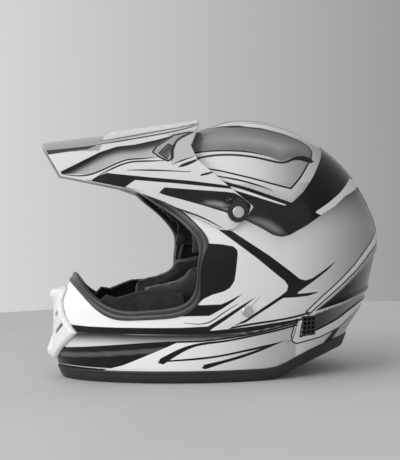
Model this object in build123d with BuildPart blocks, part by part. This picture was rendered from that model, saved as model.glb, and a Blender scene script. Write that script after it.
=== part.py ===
from build123d import *
from math import cos, sin, pi, radians
import os

# Off-road helmet with a peak. Millimetres. The helmet faces -X, +Z is up, its left side is -Y.
# It stands on the flat front and middle of its rubber base edge, at Z = 0.

# ---- outer shell: one row per level -------------------------------------------------
# height, front X, back X, half width, X of the widest point, front and back roundness
SHELL_LEVELS = [
    (-46, -140, 112, 84, 0, 1.75, 2.1),
    (-20, -152, 121, 92, 2, 1.75, 2.1),
    (3, -164, 129, 98, 5, 1.75, 2.1),
    (20, -170, 134, 103, 8, 1.78, 2.1),
    (40, -169, 142, 108, 11, 1.8, 2.1),
    (60, -167, 155, 113, 14, 1.82, 2.15),
    (80, -165, 165, 117, 17, 1.85, 2.2),
    (104, -152, 172, 121, 20, 1.9, 2.2),
    (130, -129, 177, 124, 23, 2.0, 2.2),
    (156, -108, 173, 124.5, 26, 2.05, 2.2),
    (180, -94, 163, 120, 28, 2.1, 2.2),
    (203, -80, 150, 109.5, 30, 2.1, 2.15),
    (223, -65, 133, 94, 31, 2.1, 2.1),
    (240, -44, 112, 75, 31, 2.05, 2.05),
    (252, -22, 91, 54, 31, 2.0, 2.0),
    (262, 4, 65, 31, 31, 2.0, 2.0),
    (266, 19, 45, 13.5, 31, 2.0, 2.0),
]
SECTION_POINTS = 32
CROWN_CENTRE = (3, 130)            # X and Z the inner layers shrink towards
HALF_LENGTH, HALF_WIDTH, CROWN_RISE = 180, 125, 130

SHELL_WALL = 3.2
LINER_OUT, LINER_IN = 3.8, 36      # polystyrene layer, as insets from the shell
CHIN_FOAM_IN = 24
COMFORT_OUT, COMFORT_IN = 36.4, 45
CHEEK_OUT, CHEEK_IN = 37, 60
TRIM_PROUD, TRIM_SLOT_OUT = -1.4, -0.14
TRIM_SLOT_IN, TRIM_BACK = 3.45, 5.0

# ---- base edge ----------------------------------------------------------------------
BASE_FLAT_END = 38                 # the edge is flat up to here, then rises to the nape
BASE_RISE = [(71, 10), (100, 20), (135, 25)]
BASE_TRIM_HEIGHT, BASE_TRIM_FLOOR = 12.6, 1.7

# ---- eyeport, seen from the side (X, Z) -----------------------------------------------
EYE_RIM = [(-104, 222), (-88, 208.5), (-78, 201), (-62, 189), (-44.5, 175), (-27, 157),
           (-19.5, 142), (-24.5, 127), (-27.6, 100), (-31, 81), (-45, 70.5), (-63, 67),
           (-90, 65.5), (-115, 67), (-130, 76), (-144, 91), (-155.6, 103), (-166, 112)]
EYE_EDGE = [(-110, 214), (-93, 202), (-84, 195.5), (-70, 184), (-52, 170), (-37, 155),
            (-29.2, 142), (-30.5, 117), (-33, 95), (-41, 83.5), (-57, 77.5), (-82, 75),
            (-107, 75.2), (-124, 82.5), (-138, 95), (-147.5, 110), (-157, 122)]

# ---- peak: one row per station --------------------------------------------------------
# X, half width, Z of the foot, Z of the top, squareness
PEAK_STATIONS = [
    (-192, 79, 196, 246, 2.7),
    (-150, 89, 188, 250.5, 2.7),
    (-110, 99, 178, 254.5, 2.6),
    (-75, 107.5, 168, 258.5, 2.4),
    (-45, 115.5, 158, 262, 2.2),
    (-15, 124.5, 150, 266, 1.97),
    (12, 130, 146, 270, 1.9),
    (42, 132, 144, 272, 1.9),
]
PEAK_WALL = 2.6
PEAK_GAP = 1.9                     # from the shell
PEAK_LOWER_EDGE = [(-161, 211), (-128, 204), (-95, 196.5), (-63, 184), (-30, 166.5), (-6, 154)]
PEAK_REAR_EDGE = [(26, 177), (1, 200), (-25, 226), (-29, 240), (-12, 268)]
RIDGE_HALF, RIDGE_UP = 24, 3.0
SIDE_RECESS = [(-159, 214.5), (-146, 222.5), (-104, 238), (-86, 242), (-52, 249),
               (-64, 232), (-90, 228), (-102, 227), (-134, 212)]
RECESS_DEEP = 0.9

# ---- peak pivots and screws -----------------------------------------------------------
PIVOT_X, PIVOT_Z = 9.3, 172
SHELL_AT_PIVOT = 121.0             # Y of the shell's outside there
SEAT_IN, SEAT_OUT = 123.0, 127.6   # flat seat on the peak arm
WASHER_R, WASHER_THICK = 10.2, 1.5
SCREW_R, RUNNING, FREE = 2.5, 0.05, 0.32
HEAD_R, HEAD_THICK, COIN_SLOT = 5.75, 2.6, 1.4
TOP_ANGLE = 112                    # centre screw, degrees about the pivot line
TOP_PAD_IN, TOP_PAD_OUT = 93.2, 95.7
TOP_TRAVEL = 12

# ---- strap ----------------------------------------------------------------------------
STRAP_X, STRAP_WIDTH, STRAP_THICK, STRAP_BEND = 18, 25, 2.0, 9
RIVET_Z, RIVET_SHELL_Y = 73, 115.3
RIVET_HEAD_R, RIVET_SHANK_R = 5.6, 2.4
STRAP_DROP = [(110.2, 86), (109.6, 73), (106.5, 55), (102, 36), (93, 18), (80, 8.6), (62, 5.8)]
RING_BAR, RING_WIRE_R, RING_DEEP = 30, 1.4, 22
RING_Y = 47
RING_LOW_Z, RING_HIGH_Z, RING_HIGH_TILT = 5.4, 9.3, 40

os.makedirs("parts", exist_ok=True)


def save(node, name):
    node.part.label = name
    export_step(node.part, "parts/" + name + ".step")


def level_points(front, back, half, widest, front_power, back_power, shrink_x, shrink_y):
    """Points round one level of the helmet, drawn in towards the crown centre."""
    points = []
    for i in range(SECTION_POINTS):
        a = 2 * pi * i / SECTION_POINTS
        ahead = cos(a) < 0
        reach = widest - front if ahead else back - widest
        power = front_power if ahead else back_power
        r = ((abs(cos(a)) / reach) ** power + (abs(sin(a)) / half) ** power) ** (-1 / power)
        x = widest + r * cos(a)
        points.append((CROWN_CENTRE[0] + (x - CROWN_CENTRE[0]) * shrink_x, r * sin(a) * shrink_y))
    return points


def shell_form(inset):
    """The solid helmet form, made smaller all round by the inset."""
    kx, ky, kz = 1 - inset / HALF_LENGTH, 1 - inset / HALF_WIDTH, 1 - inset / CROWN_RISE
    with BuildPart() as form:
        for z, *level in SHELL_LEVELS:
            height = z if z < CROWN_CENTRE[1] else CROWN_CENTRE[1] + (z - CROWN_CENTRE[1]) * kz
            with BuildSketch(Plane.XY.offset(height)):
                with BuildLine():
                    Spline(*level_points(*level, kx, ky), periodic=True)
                make_face()
        loft()
    return form.part


def side_prism(outline, low=-200, high=200):
    """A prism across the helmet from an outline seen from the side, between two Y values."""
    with BuildPart() as prism:
        with BuildSketch(Plane.XZ.offset(-high)):
            with BuildLine():
                Polyline(*outline, close=True)
            make_face()
        extrude(amount=high - low)
    return prism.part


def above_base(rise):
    """All that lies above the base edge, lifted by the rise."""
    with BuildPart() as region:
        with BuildSketch(Plane.XZ):
            with BuildLine():
                flat = Line((-240, rise), (BASE_FLAT_END, rise))
                nape = Spline(flat @ 1, *[(x, z + rise) for x, z in BASE_RISE],
                              tangents=((1, 0), (1, 0)))
                Polyline(nape @ 1, (240, 25 + rise), (240, 320), (-240, 320), flat @ 0)
            make_face()
        extrude(amount=200, both=True)
    return region.part


def eyeport(outline, grow=0):
    """The eyeport as a prism across the helmet, its edge moved outwards by grow."""
    edge_points = []
    for i, (x, z) in enumerate(outline):
        before, after = outline[max(i - 1, 0)], outline[min(i + 1, len(outline) - 1)]
        run, rise = after[0] - before[0], after[1] - before[1]
        scale = grow / (run ** 2 + rise ** 2) ** 0.5
        edge_points.append((x - rise * scale, z + run * scale))
    with BuildPart() as port:
        with BuildSketch(Plane.XZ):
            with BuildLine():
                edge = Spline(*edge_points)
                Polyline(edge @ 1, (-260, outline[-1][1] + 6), (-260, outline[0][1]), edge @ 0)
            make_face()
        extrude(amount=200, both=True)
    return port.part


# ---- helmet shell and its two rubber edges --------------------------------------------
shell_solid = shell_form(0)
shell_inside = shell_form(SHELL_WALL)
rim_proud = shell_form(TRIM_PROUD)
rim_slot = shell_form(TRIM_SLOT_OUT)
rim_slot_back = shell_form(TRIM_SLOT_IN)
rim_back = shell_form(TRIM_BACK)
over_rim = eyeport(EYE_RIM, 0.8)

VENT_REAR = [(74, 66), (91, 65), (93, 43), (75, 43)]
MOUTH_HOLE_Y, MOUTH_HOLE_LOW, MOUTH_HOLE_HIGH = 27, 36, 74


def pivot_cylinder(side, radius, inner, outer):
    """A cylinder on the pivot line of one side, from one |Y| to another."""
    with BuildPart(Plane.XZ.offset(-side * inner)) as post:
        with Locations((PIVOT_X, PIVOT_Z)):
            Cylinder(radius, outer - inner, align=(Align.CENTER, Align.CENTER,
                                                   Align.MAX if side > 0 else Align.MIN))
    return post.part


def top_cylinder(radius, inner, outer):
    """A cylinder that points out from the pivot line at the centre screw."""
    a = radians(TOP_ANGLE)
    out = (cos(a), 0, sin(a))
    plane = Plane((PIVOT_X + inner * out[0], 0, PIVOT_Z + inner * out[2]), x_dir=(0, 1, 0), z_dir=out)
    with BuildPart(plane) as post:
        Cylinder(radius, outer - inner, align=(Align.CENTER, Align.CENTER, Align.MIN))
    return post.part


def rivet_cylinder(side, radius, inner, outer):
    with BuildPart(Plane.XZ.offset(-side * inner)) as post:
        with Locations((STRAP_X, RIVET_Z)):
            Cylinder(radius, outer - inner, align=(Align.CENTER, Align.CENTER,
                                                   Align.MAX if side > 0 else Align.MIN))
    return post.part


rear_hole = side_prism(VENT_REAR)
with BuildPart() as mouth_hole:
    with Locations((-160, 0, (MOUTH_HOLE_LOW + MOUTH_HOLE_HIGH) / 2)):
        Box(70, 2 * MOUTH_HOLE_Y, MOUTH_HOLE_HIGH - MOUTH_HOLE_LOW)
    fillet(mouth_hole.edges().filter_by(Axis.X), 6)

with BuildPart() as outer_shell:
    add(shell_solid)
    add(shell_inside, mode=Mode.SUBTRACT)
    add(above_base(BASE_TRIM_FLOOR + 0.2), mode=Mode.INTERSECT)
    add(eyeport(EYE_EDGE, 2.2), mode=Mode.SUBTRACT)
    add(rear_hole, mode=Mode.SUBTRACT)
    add(mouth_hole.part, mode=Mode.SUBTRACT)
    for side in (-1, 1):
        add(pivot_cylinder(side, 4.1, 100, 140), mode=Mode.SUBTRACT)
        add(rivet_cylinder(side, RIVET_SHANK_R + 0.05, 100, 140), mode=Mode.SUBTRACT)
        add(rivet_cylinder(side, RIVET_HEAD_R + 0.2, RIVET_SHELL_Y + 0.4, 140), mode=Mode.SUBTRACT)
    add(top_cylinder(6.1, 70, 110), mode=Mode.SUBTRACT)
save(outer_shell, "outer_shell")

with BuildPart() as channel:                      # what the shell edge fills inside a trim
    add(rim_slot)
    add(rim_slot_back, mode=Mode.SUBTRACT)

with BuildPart() as base_slot:
    add(channel.part)
    add(above_base(BASE_TRIM_FLOOR), mode=Mode.INTERSECT)

with BuildPart() as base_trim:
    add(rim_proud)
    add(rim_back, mode=Mode.SUBTRACT)
    add(above_base(0), mode=Mode.INTERSECT)
    add(above_base(BASE_TRIM_HEIGHT), mode=Mode.SUBTRACT)
    add(base_slot.part, mode=Mode.SUBTRACT)
save(base_trim, "base_trim")

with BuildPart() as eye_slot:
    add(channel.part)
    add(eyeport(EYE_EDGE, 2.0), mode=Mode.SUBTRACT)

with BuildPart() as eyeport_trim:
    add(rim_proud)
    add(rim_back, mode=Mode.SUBTRACT)
    add(eyeport(EYE_RIM), mode=Mode.INTERSECT)
    add(eyeport(EYE_EDGE), mode=Mode.SUBTRACT)
    add(eye_slot.part, mode=Mode.SUBTRACT)
save(eyeport_trim, "eyeport_trim")

# ---- polystyrene: crown and chin --------------------------------------------------------
LINER_SIDE = [(-110, 200), (-76, 187), (-60, 174.5), (-39, 154), (-41, 126), (-42, 14.5), (40, 14.5), (71, 26), (100, 36),
              (200, 41), (200, 290), (-110, 290)]
LINER_SPLIT = 42                    # X where the two mouldings meet
CHIN_SIDE = [(-180, 14.5), (-44, 14.5), (-44, 94), (-83, 94), (-95, 90.5), (-108, 86.5),
             (-118, 89), (-128, 80), (-150, 90), (-180, 104)]
CHIN_BEHIND_TRIM = 5.6
STRAP_NOTCH = [(STRAP_X - 16, 0), (STRAP_X + 16, 0), (STRAP_X + 16, 92), (STRAP_X - 16, 92)]

liner_outside = shell_form(LINER_OUT)
liner_inside = shell_form(LINER_IN)

with BuildPart() as impact_liner:
    add(liner_outside)
    add(liner_inside, mode=Mode.SUBTRACT)
    add(side_prism(LINER_SIDE), mode=Mode.INTERSECT)
    add(over_rim, mode=Mode.SUBTRACT)
    add(side_prism(STRAP_NOTCH), mode=Mode.SUBTRACT)
    for side in (-1, 1):
        add(pivot_cylinder(side, 9.5, 106, 140), mode=Mode.SUBTRACT)
    add(top_cylinder(12, 70, 100), mode=Mode.SUBTRACT)

for end, low in (("front", -200), ("rear", LINER_SPLIT)):      # moulded in two pieces
    with BuildPart() as moulding:
        add(impact_liner.part)
        with Locations((low, 0, 100)):
            Box(200 + LINER_SPLIT if end == "front" else 200, 400, 500,
                align=(Align.MIN, Align.CENTER, Align.CENTER), mode=Mode.INTERSECT)
    save(moulding, "impact_liner_" + end)

with BuildPart() as chin_bar_foam:
    add(liner_outside)
    add(over_rim, mode=Mode.SUBTRACT)
    add(shell_form(CHIN_BEHIND_TRIM))
    add(shell_form(CHIN_FOAM_IN), mode=Mode.SUBTRACT)
    add(side_prism(CHIN_SIDE), mode=Mode.INTERSECT)
    add(mouth_hole.part, mode=Mode.SUBTRACT)
save(chin_bar_foam, "chin_bar_foam")

# ---- comfort padding: plain shapes ------------------------------------------------------
CROWN_SIDE = [(-110, 200), (-72, 185), (-52, 171), (-33, 153), (-33, 128), (60, 128), (75, 106), (180, 106),
              (180, 260), (-100, 260)]
CHEEK_SIDE = [(-83, 15.5), (-84, 60), (-82.5, 93), (-75, 99.5), (-60, 104.5), (-42, 110.5),
              (-34.5, 120), (0, 123), (40, 121), (56, 98), (60, 50), (50, 24), (40, 15.5)]
NAPE_SIDE = [(68, 40), (72, 97), (84, 101), (190, 101), (190, 44), (100, 41)]

comfort_outside = shell_form(COMFORT_OUT)
comfort_inside = shell_form(COMFORT_IN)
cheek_outside = shell_form(CHEEK_OUT)
cheek_inside = shell_form(CHEEK_IN)

with BuildPart() as crown_liner:
    add(comfort_outside)
    add(comfort_inside, mode=Mode.SUBTRACT)
    add(side_prism(CROWN_SIDE), mode=Mode.INTERSECT)
save(crown_liner, "crown_liner")

with BuildPart() as neck_roll:
    add(comfort_outside)
    add(shell_form(50), mode=Mode.SUBTRACT)
    add(side_prism(NAPE_SIDE), mode=Mode.INTERSECT)
save(neck_roll, "neck_roll")

with BuildPart() as cheek_pads:
    add(cheek_outside)
    add(cheek_inside, mode=Mode.SUBTRACT)
    add(side_prism(CHEEK_SIDE), mode=Mode.INTERSECT)


def half_of(both, side):
    """The left (-1) or right (+1) half of a symmetric pair."""
    with BuildPart() as one:
        add(both)
        with Locations((0, side * 150, 100)):
            Box(500, 300, 500, mode=Mode.INTERSECT)
    return one


cheek_pad_left = half_of(cheek_pads.part, -1)
save(cheek_pad_left, "cheek_pad_left")
cheek_pad_right = half_of(cheek_pads.part, 1)
save(cheek_pad_right, "cheek_pad_right")

# ---- mouth vent: moulded cover with a keel, and a mesh behind it --------------------------
COVER_FRONT = [(0, 97), (15, 94), (17, 82), (27, 67), (37, 57), (44, 50), (10, 20.5), (0, 20.5)]
KEEL_SIDE = [(-150, 96), (-163, 95.5), (-174.5, 92), (-175.5, 86), (-171.5, 79), (-171.2, 62),
             (-173.5, 46), (-180, 29.5), (-178.5, 24), (-168, 20.5), (-150, 20.5)]
COVER_RAISED, KEEL_HALF = -5.5, 9

with BuildPart() as cover_outline:
    with BuildSketch(Plane.YZ.offset(-200)):
        with BuildLine():
            Polyline(*COVER_FRONT, close=True)
        make_face()
        mirror(about=Plane.YZ)
    extrude(amount=80)

with BuildPart() as mouth_vent_cover:
    add(shell_form(COVER_RAISED))
    add(side_prism(KEEL_SIDE, -KEEL_HALF, KEEL_HALF))
    add(cover_outline.part, mode=Mode.INTERSECT)
    add(shell_form(-0.3), mode=Mode.SUBTRACT)
    for side in (-1, 1):                          # two slanted air slots each side
        for y, z, long in ((21, 53, 20), (15.5, 68, 11)):
            with Locations(Location((-165, side * y, z), (side * 38, 0, 0))):
                Box(60, long, 5, mode=Mode.SUBTRACT)
save(mouth_vent_cover, "mouth_vent_cover")

MESH_PITCH, MESH_OPEN = 5.0, 3.4
with BuildPart() as mesh_blank:
    with Locations((-160, 0, (MOUTH_HOLE_LOW + MOUTH_HOLE_HIGH) / 2)):
        Box(70, 2 * MOUTH_HOLE_Y - 0.4, MOUTH_HOLE_HIGH - MOUTH_HOLE_LOW - 0.4)
    fillet(mesh_blank.edges().filter_by(Axis.X), 5.8)

with BuildPart() as mouth_vent_mesh:
    add(shell_form(0.5))
    add(shell_form(2.0), mode=Mode.SUBTRACT)
    add(mesh_blank.part, mode=Mode.INTERSECT)
    with BuildSketch(Plane.YZ.offset(-200)):
        with Locations((0, (MOUTH_HOLE_LOW + MOUTH_HOLE_HIGH) / 2)):
            with GridLocations(MESH_PITCH, MESH_PITCH, 9, 6):
                Rectangle(MESH_OPEN, MESH_OPEN)
    extrude(amount=80, mode=Mode.SUBTRACT)
save(mouth_vent_mesh, "mouth_vent_mesh")

# ---- rear exhaust grilles ---------------------------------------------------------------
GRILLE_SIDE = [(74.4, 65.5), (90.5, 64.5), (92.5, 43.5), (75.4, 43.5)]
with BuildPart() as grilles:
    add(shell_form(0.6))
    add(shell_form(2.4), mode=Mode.SUBTRACT)
    add(side_prism(GRILLE_SIDE), mode=Mode.INTERSECT)
    with BuildSketch(Plane.XZ):
        with Locations((83.5, 54.5)):
            with GridLocations(4.6, 4.6, 3, 4):
                Rectangle(3.2, 3.2, rotation=0)
    extrude(amount=200, both=True, mode=Mode.SUBTRACT)
rear_grille_left = half_of(grilles.part, -1)
save(rear_grille_left, "rear_grille_left")
rear_grille_right = half_of(grilles.part, 1)
save(rear_grille_right, "rear_grille_right")

# ---- peak -------------------------------------------------------------------------------


def peak_form(inset):
    """The solid under the peak's top surface, made smaller by the inset."""
    with BuildPart() as form:
        for x, half, foot, top, power in PEAK_STATIONS:
            w, h = half - inset, top - inset - foot
            ring = []
            for i in range(13):
                a = pi * i / 12
                r = ((abs(cos(a)) / w) ** power + (sin(a) / h) ** power) ** (-1 / power)
                ring.append((r * cos(a), foot + r * sin(a)))
            with BuildSketch(Plane.YZ.offset(x)):
                with BuildLine():
                    arch = Spline(*ring, tangents=((0, 1), (0, -1)))
                    Polyline(arch @ 1, (-w, foot - 20), (w, foot - 20), arch @ 0)
                make_face()
        loft()
    return form.part


PEAK_SIDE = ([(-192, 275), (-180, 247)] + PEAK_LOWER_EDGE + [(2, 154), (15, 162.5)]
             + PEAK_REAR_EDGE + [(-8, 285)])


def pivot_sector(inner, outer, start, end, half):
    """Part of a ring about the pivot line, centred on the helmet's middle."""
    with BuildPart() as sector:
        with BuildSketch(Plane.XZ):
            with BuildLine():
                low = CenterArc((PIVOT_X, PIVOT_Z), inner, start, end - start)
                high = CenterArc((PIVOT_X, PIVOT_Z), outer, start, end - start)
                Line(low @ 0, high @ 0)
                Line(low @ 1, high @ 1)
            make_face()
        extrude(amount=half, both=True)
    return sector.part


peak_outside = peak_form(0)
with BuildPart() as peak_ridge:                   # the raised tier along the rear of the top
    add(peak_form(-RIDGE_UP))
    add(peak_form(1), mode=Mode.SUBTRACT)
    add(side_prism([(-118, 240), (-109, 262), (-109, 290), (0, 290), (0, 225), (-118, 225)],
                   -RIDGE_HALF, RIDGE_HALF), mode=Mode.INTERSECT)

with BuildPart() as recess:
    add(peak_form(-2))
    add(peak_form(RECESS_DEEP), mode=Mode.SUBTRACT)
    add(side_prism(SIDE_RECESS), mode=Mode.INTERSECT)

with BuildPart() as hollow:                       # the space under the peak
    add(peak_form(PEAK_WALL))
    for side in (-1, 1):
        add(pivot_cylinder(side, 11.5, SEAT_IN, 140), mode=Mode.SUBTRACT)
    add(pivot_sector(TOP_PAD_IN, 130, TOP_ANGLE - 8.3, TOP_ANGLE + 17.5, 11.4), mode=Mode.SUBTRACT)

with BuildPart() as peak:
    add(peak_outside)
    add(side_prism(PEAK_SIDE), mode=Mode.INTERSECT)
    add(peak_ridge.part)
    for side in (-1, 1):
        add(pivot_cylinder(side, 11.5, 118, SEAT_OUT))
    add(hollow.part, mode=Mode.SUBTRACT)
    add(recess.part, mode=Mode.SUBTRACT)
    add(side_prism(PEAK_SIDE), mode=Mode.INTERSECT)
    add(pivot_sector(TOP_PAD_OUT, 135, TOP_ANGLE - 6.8, TOP_ANGLE + 16, 9), mode=Mode.SUBTRACT)
    add(pivot_sector(80, 110, TOP_ANGLE - 1.9, TOP_ANGLE + TOP_TRAVEL, SCREW_R + 0.4),
        mode=Mode.SUBTRACT)
    add(shell_form(-PEAK_GAP), mode=Mode.SUBTRACT)
    for side in (-1, 1):
        add(pivot_cylinder(side, 11.4, 100, SEAT_IN), mode=Mode.SUBTRACT)
        add(pivot_cylinder(side, SCREW_R + RUNNING, 100, 140), mode=Mode.SUBTRACT)
        add(pivot_cylinder(side, 14, SEAT_OUT, 140), mode=Mode.SUBTRACT)
    with BuildSketch(Plane.XY.offset(300)):       # small louvres near the front of the top
        with Locations((-145, -17), (-137, -17), (-129, -17), (-145, 17), (-137, 17), (-129, 17)):
            RectangleRounded(4.4, 20, 1.5)
    extrude(amount=-70, mode=Mode.SUBTRACT)
    with BuildSketch(Plane.XZ):                   # air outlets high on each side
        with BuildLine():
            Polyline((-62, 232.5), (-51.5, 241.5), (-48, 240.5), (-54, 226), close=True)
        make_face()
    extrude(amount=200, both=True, mode=Mode.SUBTRACT)
save(peak, "peak")

for side, name in ((-1, "left"), (1, "right")):
    with BuildPart() as washer:
        add(pivot_cylinder(side, WASHER_R, SEAT_OUT, SEAT_OUT + WASHER_THICK))
        add(pivot_cylinder(side, SCREW_R + FREE, 100, 140), mode=Mode.SUBTRACT)
    save(washer, "peak_washer_" + name)

    with BuildPart() as screw:                    # coin-slot screw, its head outside the washer
        add(pivot_cylinder(side, SCREW_R, 113, SEAT_OUT + WASHER_THICK + 0.4))
        add(pivot_cylinder(side, HEAD_R, SEAT_OUT + WASHER_THICK + 0.3,
                           SEAT_OUT + WASHER_THICK + 0.3 + HEAD_THICK))
        fillet(screw.edges().group_by(Axis.Y)[0 if side < 0 else -1], 0.8)
        with Locations((PIVOT_X, side * (SEAT_OUT + WASHER_THICK + 0.3 + HEAD_THICK), PIVOT_Z)):
            Box(COIN_SLOT, 2.2, 9, rotation=(0, 60, 0), mode=Mode.SUBTRACT)
    save(screw, "peak_screw_" + name)

    with BuildPart() as nut:                      # flanged insert pressed through the shell
        add(pivot_cylinder(side, 4.0, 113, SHELL_AT_PIVOT + 0.6))
        add(pivot_cylinder(side, 8.5, 113.4, 115.0))
        add(pivot_cylinder(side, SCREW_R + RUNNING, 100, 140), mode=Mode.SUBTRACT)
    save(nut, "pivot_nut_" + name)

with BuildPart() as centre_nut:
    add(top_cylinder(6.0, 80, TOP_PAD_IN - 0.35))
    add(top_cylinder(9.0, 79, 81))
    add(top_cylinder(SCREW_R + RUNNING, 70, 110), mode=Mode.SUBTRACT)
save(centre_nut, "centre_nut")

with BuildPart() as centre_screw:
    add(top_cylinder(SCREW_R, 82, TOP_PAD_OUT + 0.5))
    add(top_cylinder(5.6, TOP_PAD_OUT + 0.35, TOP_PAD_OUT + 2.8))
    with BuildSketch(Plane((PIVOT_X + 98.5 * cos(radians(TOP_ANGLE)), 0,
                            PIVOT_Z + 98.5 * sin(radians(TOP_ANGLE))),
                           x_dir=(0, 1, 0), z_dir=(cos(radians(TOP_ANGLE)), 0, sin(radians(TOP_ANGLE))))):
        Rectangle(9, COIN_SLOT)
    extrude(amount=-1.5, mode=Mode.SUBTRACT)
save(centre_screw, "centre_screw")

# ---- chin strap -------------------------------------------------------------------------


def strap_path(side, tail):
    """The middle line of one strap half, seen from the front."""
    return [(side * y, z) for y, z in STRAP_DROP + tail]


def strap(side, tail):
    """Webbing that hangs from the rivet and turns in under the cheek pad."""
    with BuildPart() as band:
        with BuildSketch(Plane.YZ.offset(STRAP_X - STRAP_WIDTH / 2)):
            with BuildLine():
                FilletPolyline(*strap_path(side, tail), radius=STRAP_BEND)
                offset(amount=STRAP_THICK / 2, side=Side.BOTH, mode=Mode.REPLACE)
            make_face()
        extrude(amount=STRAP_WIDTH)
        add(rivet_cylinder(side, RIVET_SHANK_R + 0.1, 100, 140), mode=Mode.SUBTRACT)
    return band


chin_strap_left = strap(-1, [(34, 4.5), (-20, 4.2)])
save(chin_strap_left, "chin_strap_left")

for side, name in ((-1, "left"), (1, "right")):
    with BuildPart() as rivet:
        add(rivet_cylinder(side, RIVET_SHANK_R, 106.2, RIVET_SHELL_Y + 0.5))
        add(rivet_cylinder(side, RIVET_HEAD_R, RIVET_SHELL_Y + 0.4, RIVET_SHELL_Y + 2.4))
        add(rivet_cylinder(side, 4.5, 106.2, 107.0))
        fillet(rivet.edges().group_by(Axis.Y)[0 if side < 0 else -1], 1.4)
    save(rivet, "strap_rivet_" + name)

LOOP_OUT = 1.2
loop_mid = (RING_LOW_Z + RING_HIGH_Z) / 2
loop_high = (RING_HIGH_Z - RING_LOW_Z) / 2 + RING_WIRE_R + 0.35
loop_wide = RING_WIRE_R + 0.35
chin_strap_right = strap(1, [(56, 6.6)])
with BuildPart() as strap_loop:                   # the sewn end that holds both rings
    with BuildSketch(Plane.YZ.offset(STRAP_X - STRAP_WIDTH / 2)):
        with Locations((RING_Y, loop_mid)):
            RectangleRounded(2 * (loop_wide + LOOP_OUT), 2 * (loop_high + LOOP_OUT), loop_wide + 0.9)
        with Locations((RING_Y + loop_wide + 5.5, loop_mid)):
            Rectangle(11, 3.6)
        with Locations((RING_Y, loop_mid)):
            RectangleRounded(2 * loop_wide, 2 * loop_high, loop_wide - 0.1, mode=Mode.SUBTRACT)
    extrude(amount=STRAP_WIDTH)
with BuildPart() as chin_strap_short:
    add(chin_strap_right.part)
    add(strap_loop.part)
save(chin_strap_short, "chin_strap_right")

for name, z, tilt in (("low", RING_LOW_Z, 0), ("high", RING_HIGH_Z, RING_HIGH_TILT)):
    t = radians(tilt)
    flat = Plane((STRAP_X, RING_Y, z), x_dir=(1, 0, 0), z_dir=(0, sin(t), cos(t)))
    with BuildPart() as ring:
        with BuildLine(flat) as wire:
            bar = Line((-RING_BAR / 2, 0), (RING_BAR / 2, 0))
            straight = Line(bar @ 1, (RING_BAR / 2, -(RING_DEEP - RING_BAR / 2)))
            bow = RadiusArc(straight @ 1, (-RING_BAR / 2, -(RING_DEEP - RING_BAR / 2)), RING_BAR / 2)
            Line(bow @ 1, bar @ 0)
            fillet(wire.vertices().group_by(Axis.Y)[-1], 2.5)
        with BuildSketch(Plane((STRAP_X, RING_Y, z), x_dir=(0, 1, 0), z_dir=(1, 0, 0))):
            Circle(RING_WIRE_R)
        sweep()
    save(ring, "d_ring_" + name)

with BuildPart(Plane.XY.offset(5.35)) as snap_stud:
    with Locations((STRAP_X, 10)):
        Cylinder(6, 1.2, align=(Align.CENTER, Align.CENTER, Align.MIN))
        Cylinder(3.2, 3, align=(Align.CENTER, Align.CENTER, Align.MIN))
save(snap_stud, "snap_stud")
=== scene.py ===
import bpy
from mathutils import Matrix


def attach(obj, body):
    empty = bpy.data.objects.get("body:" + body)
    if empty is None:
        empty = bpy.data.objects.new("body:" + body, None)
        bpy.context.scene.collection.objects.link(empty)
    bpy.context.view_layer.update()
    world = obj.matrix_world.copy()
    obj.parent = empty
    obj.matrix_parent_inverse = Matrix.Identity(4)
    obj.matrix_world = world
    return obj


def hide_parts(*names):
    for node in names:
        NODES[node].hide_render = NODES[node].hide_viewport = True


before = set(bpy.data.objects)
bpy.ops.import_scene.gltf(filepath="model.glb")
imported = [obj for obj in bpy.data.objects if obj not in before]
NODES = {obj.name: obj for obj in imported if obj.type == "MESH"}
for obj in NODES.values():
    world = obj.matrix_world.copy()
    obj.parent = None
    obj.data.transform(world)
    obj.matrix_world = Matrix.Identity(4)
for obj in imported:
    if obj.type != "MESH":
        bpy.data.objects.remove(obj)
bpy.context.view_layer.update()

import math
import bpy
import bmesh
import numpy as np
from mathutils import Quaternion, Vector

MM = 0.001

# ======================================================================================
# The helmet's form, in millimetres, as in the CAD: height, front, back, half width,
# X of the widest point, front and back roundness
LEVELS = np.array([
    (-46, -140, 112, 84, 0, 1.75, 2.1), (-20, -152, 121, 92, 2, 1.75, 2.1),
    (3, -164, 129, 98, 5, 1.75, 2.1), (20, -170, 134, 103, 8, 1.78, 2.1),
    (40, -169, 142, 108, 11, 1.8, 2.1), (60, -167, 155, 113, 14, 1.82, 2.15),
    (80, -165, 165, 117, 17, 1.85, 2.2), (104, -152, 172, 121, 20, 1.9, 2.2),
    (130, -129, 177, 124, 23, 2.0, 2.2), (156, -108, 173, 124.5, 26, 2.05, 2.2),
    (180, -94, 163, 120, 28, 2.1, 2.2), (203, -80, 150, 109.5, 30, 2.1, 2.15),
    (223, -65, 133, 94, 31, 2.1, 2.1), (240, -44, 112, 75, 31, 2.05, 2.05),
    (252, -22, 91, 54, 31, 2.0, 2.0), (262, 4, 65, 31, 31, 2.0, 2.0),
    (266, 19, 45, 13.5, 31, 2.0, 2.0), (266.6, 31, 31, 0, 31, 2.0, 2.0)], float)


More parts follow.
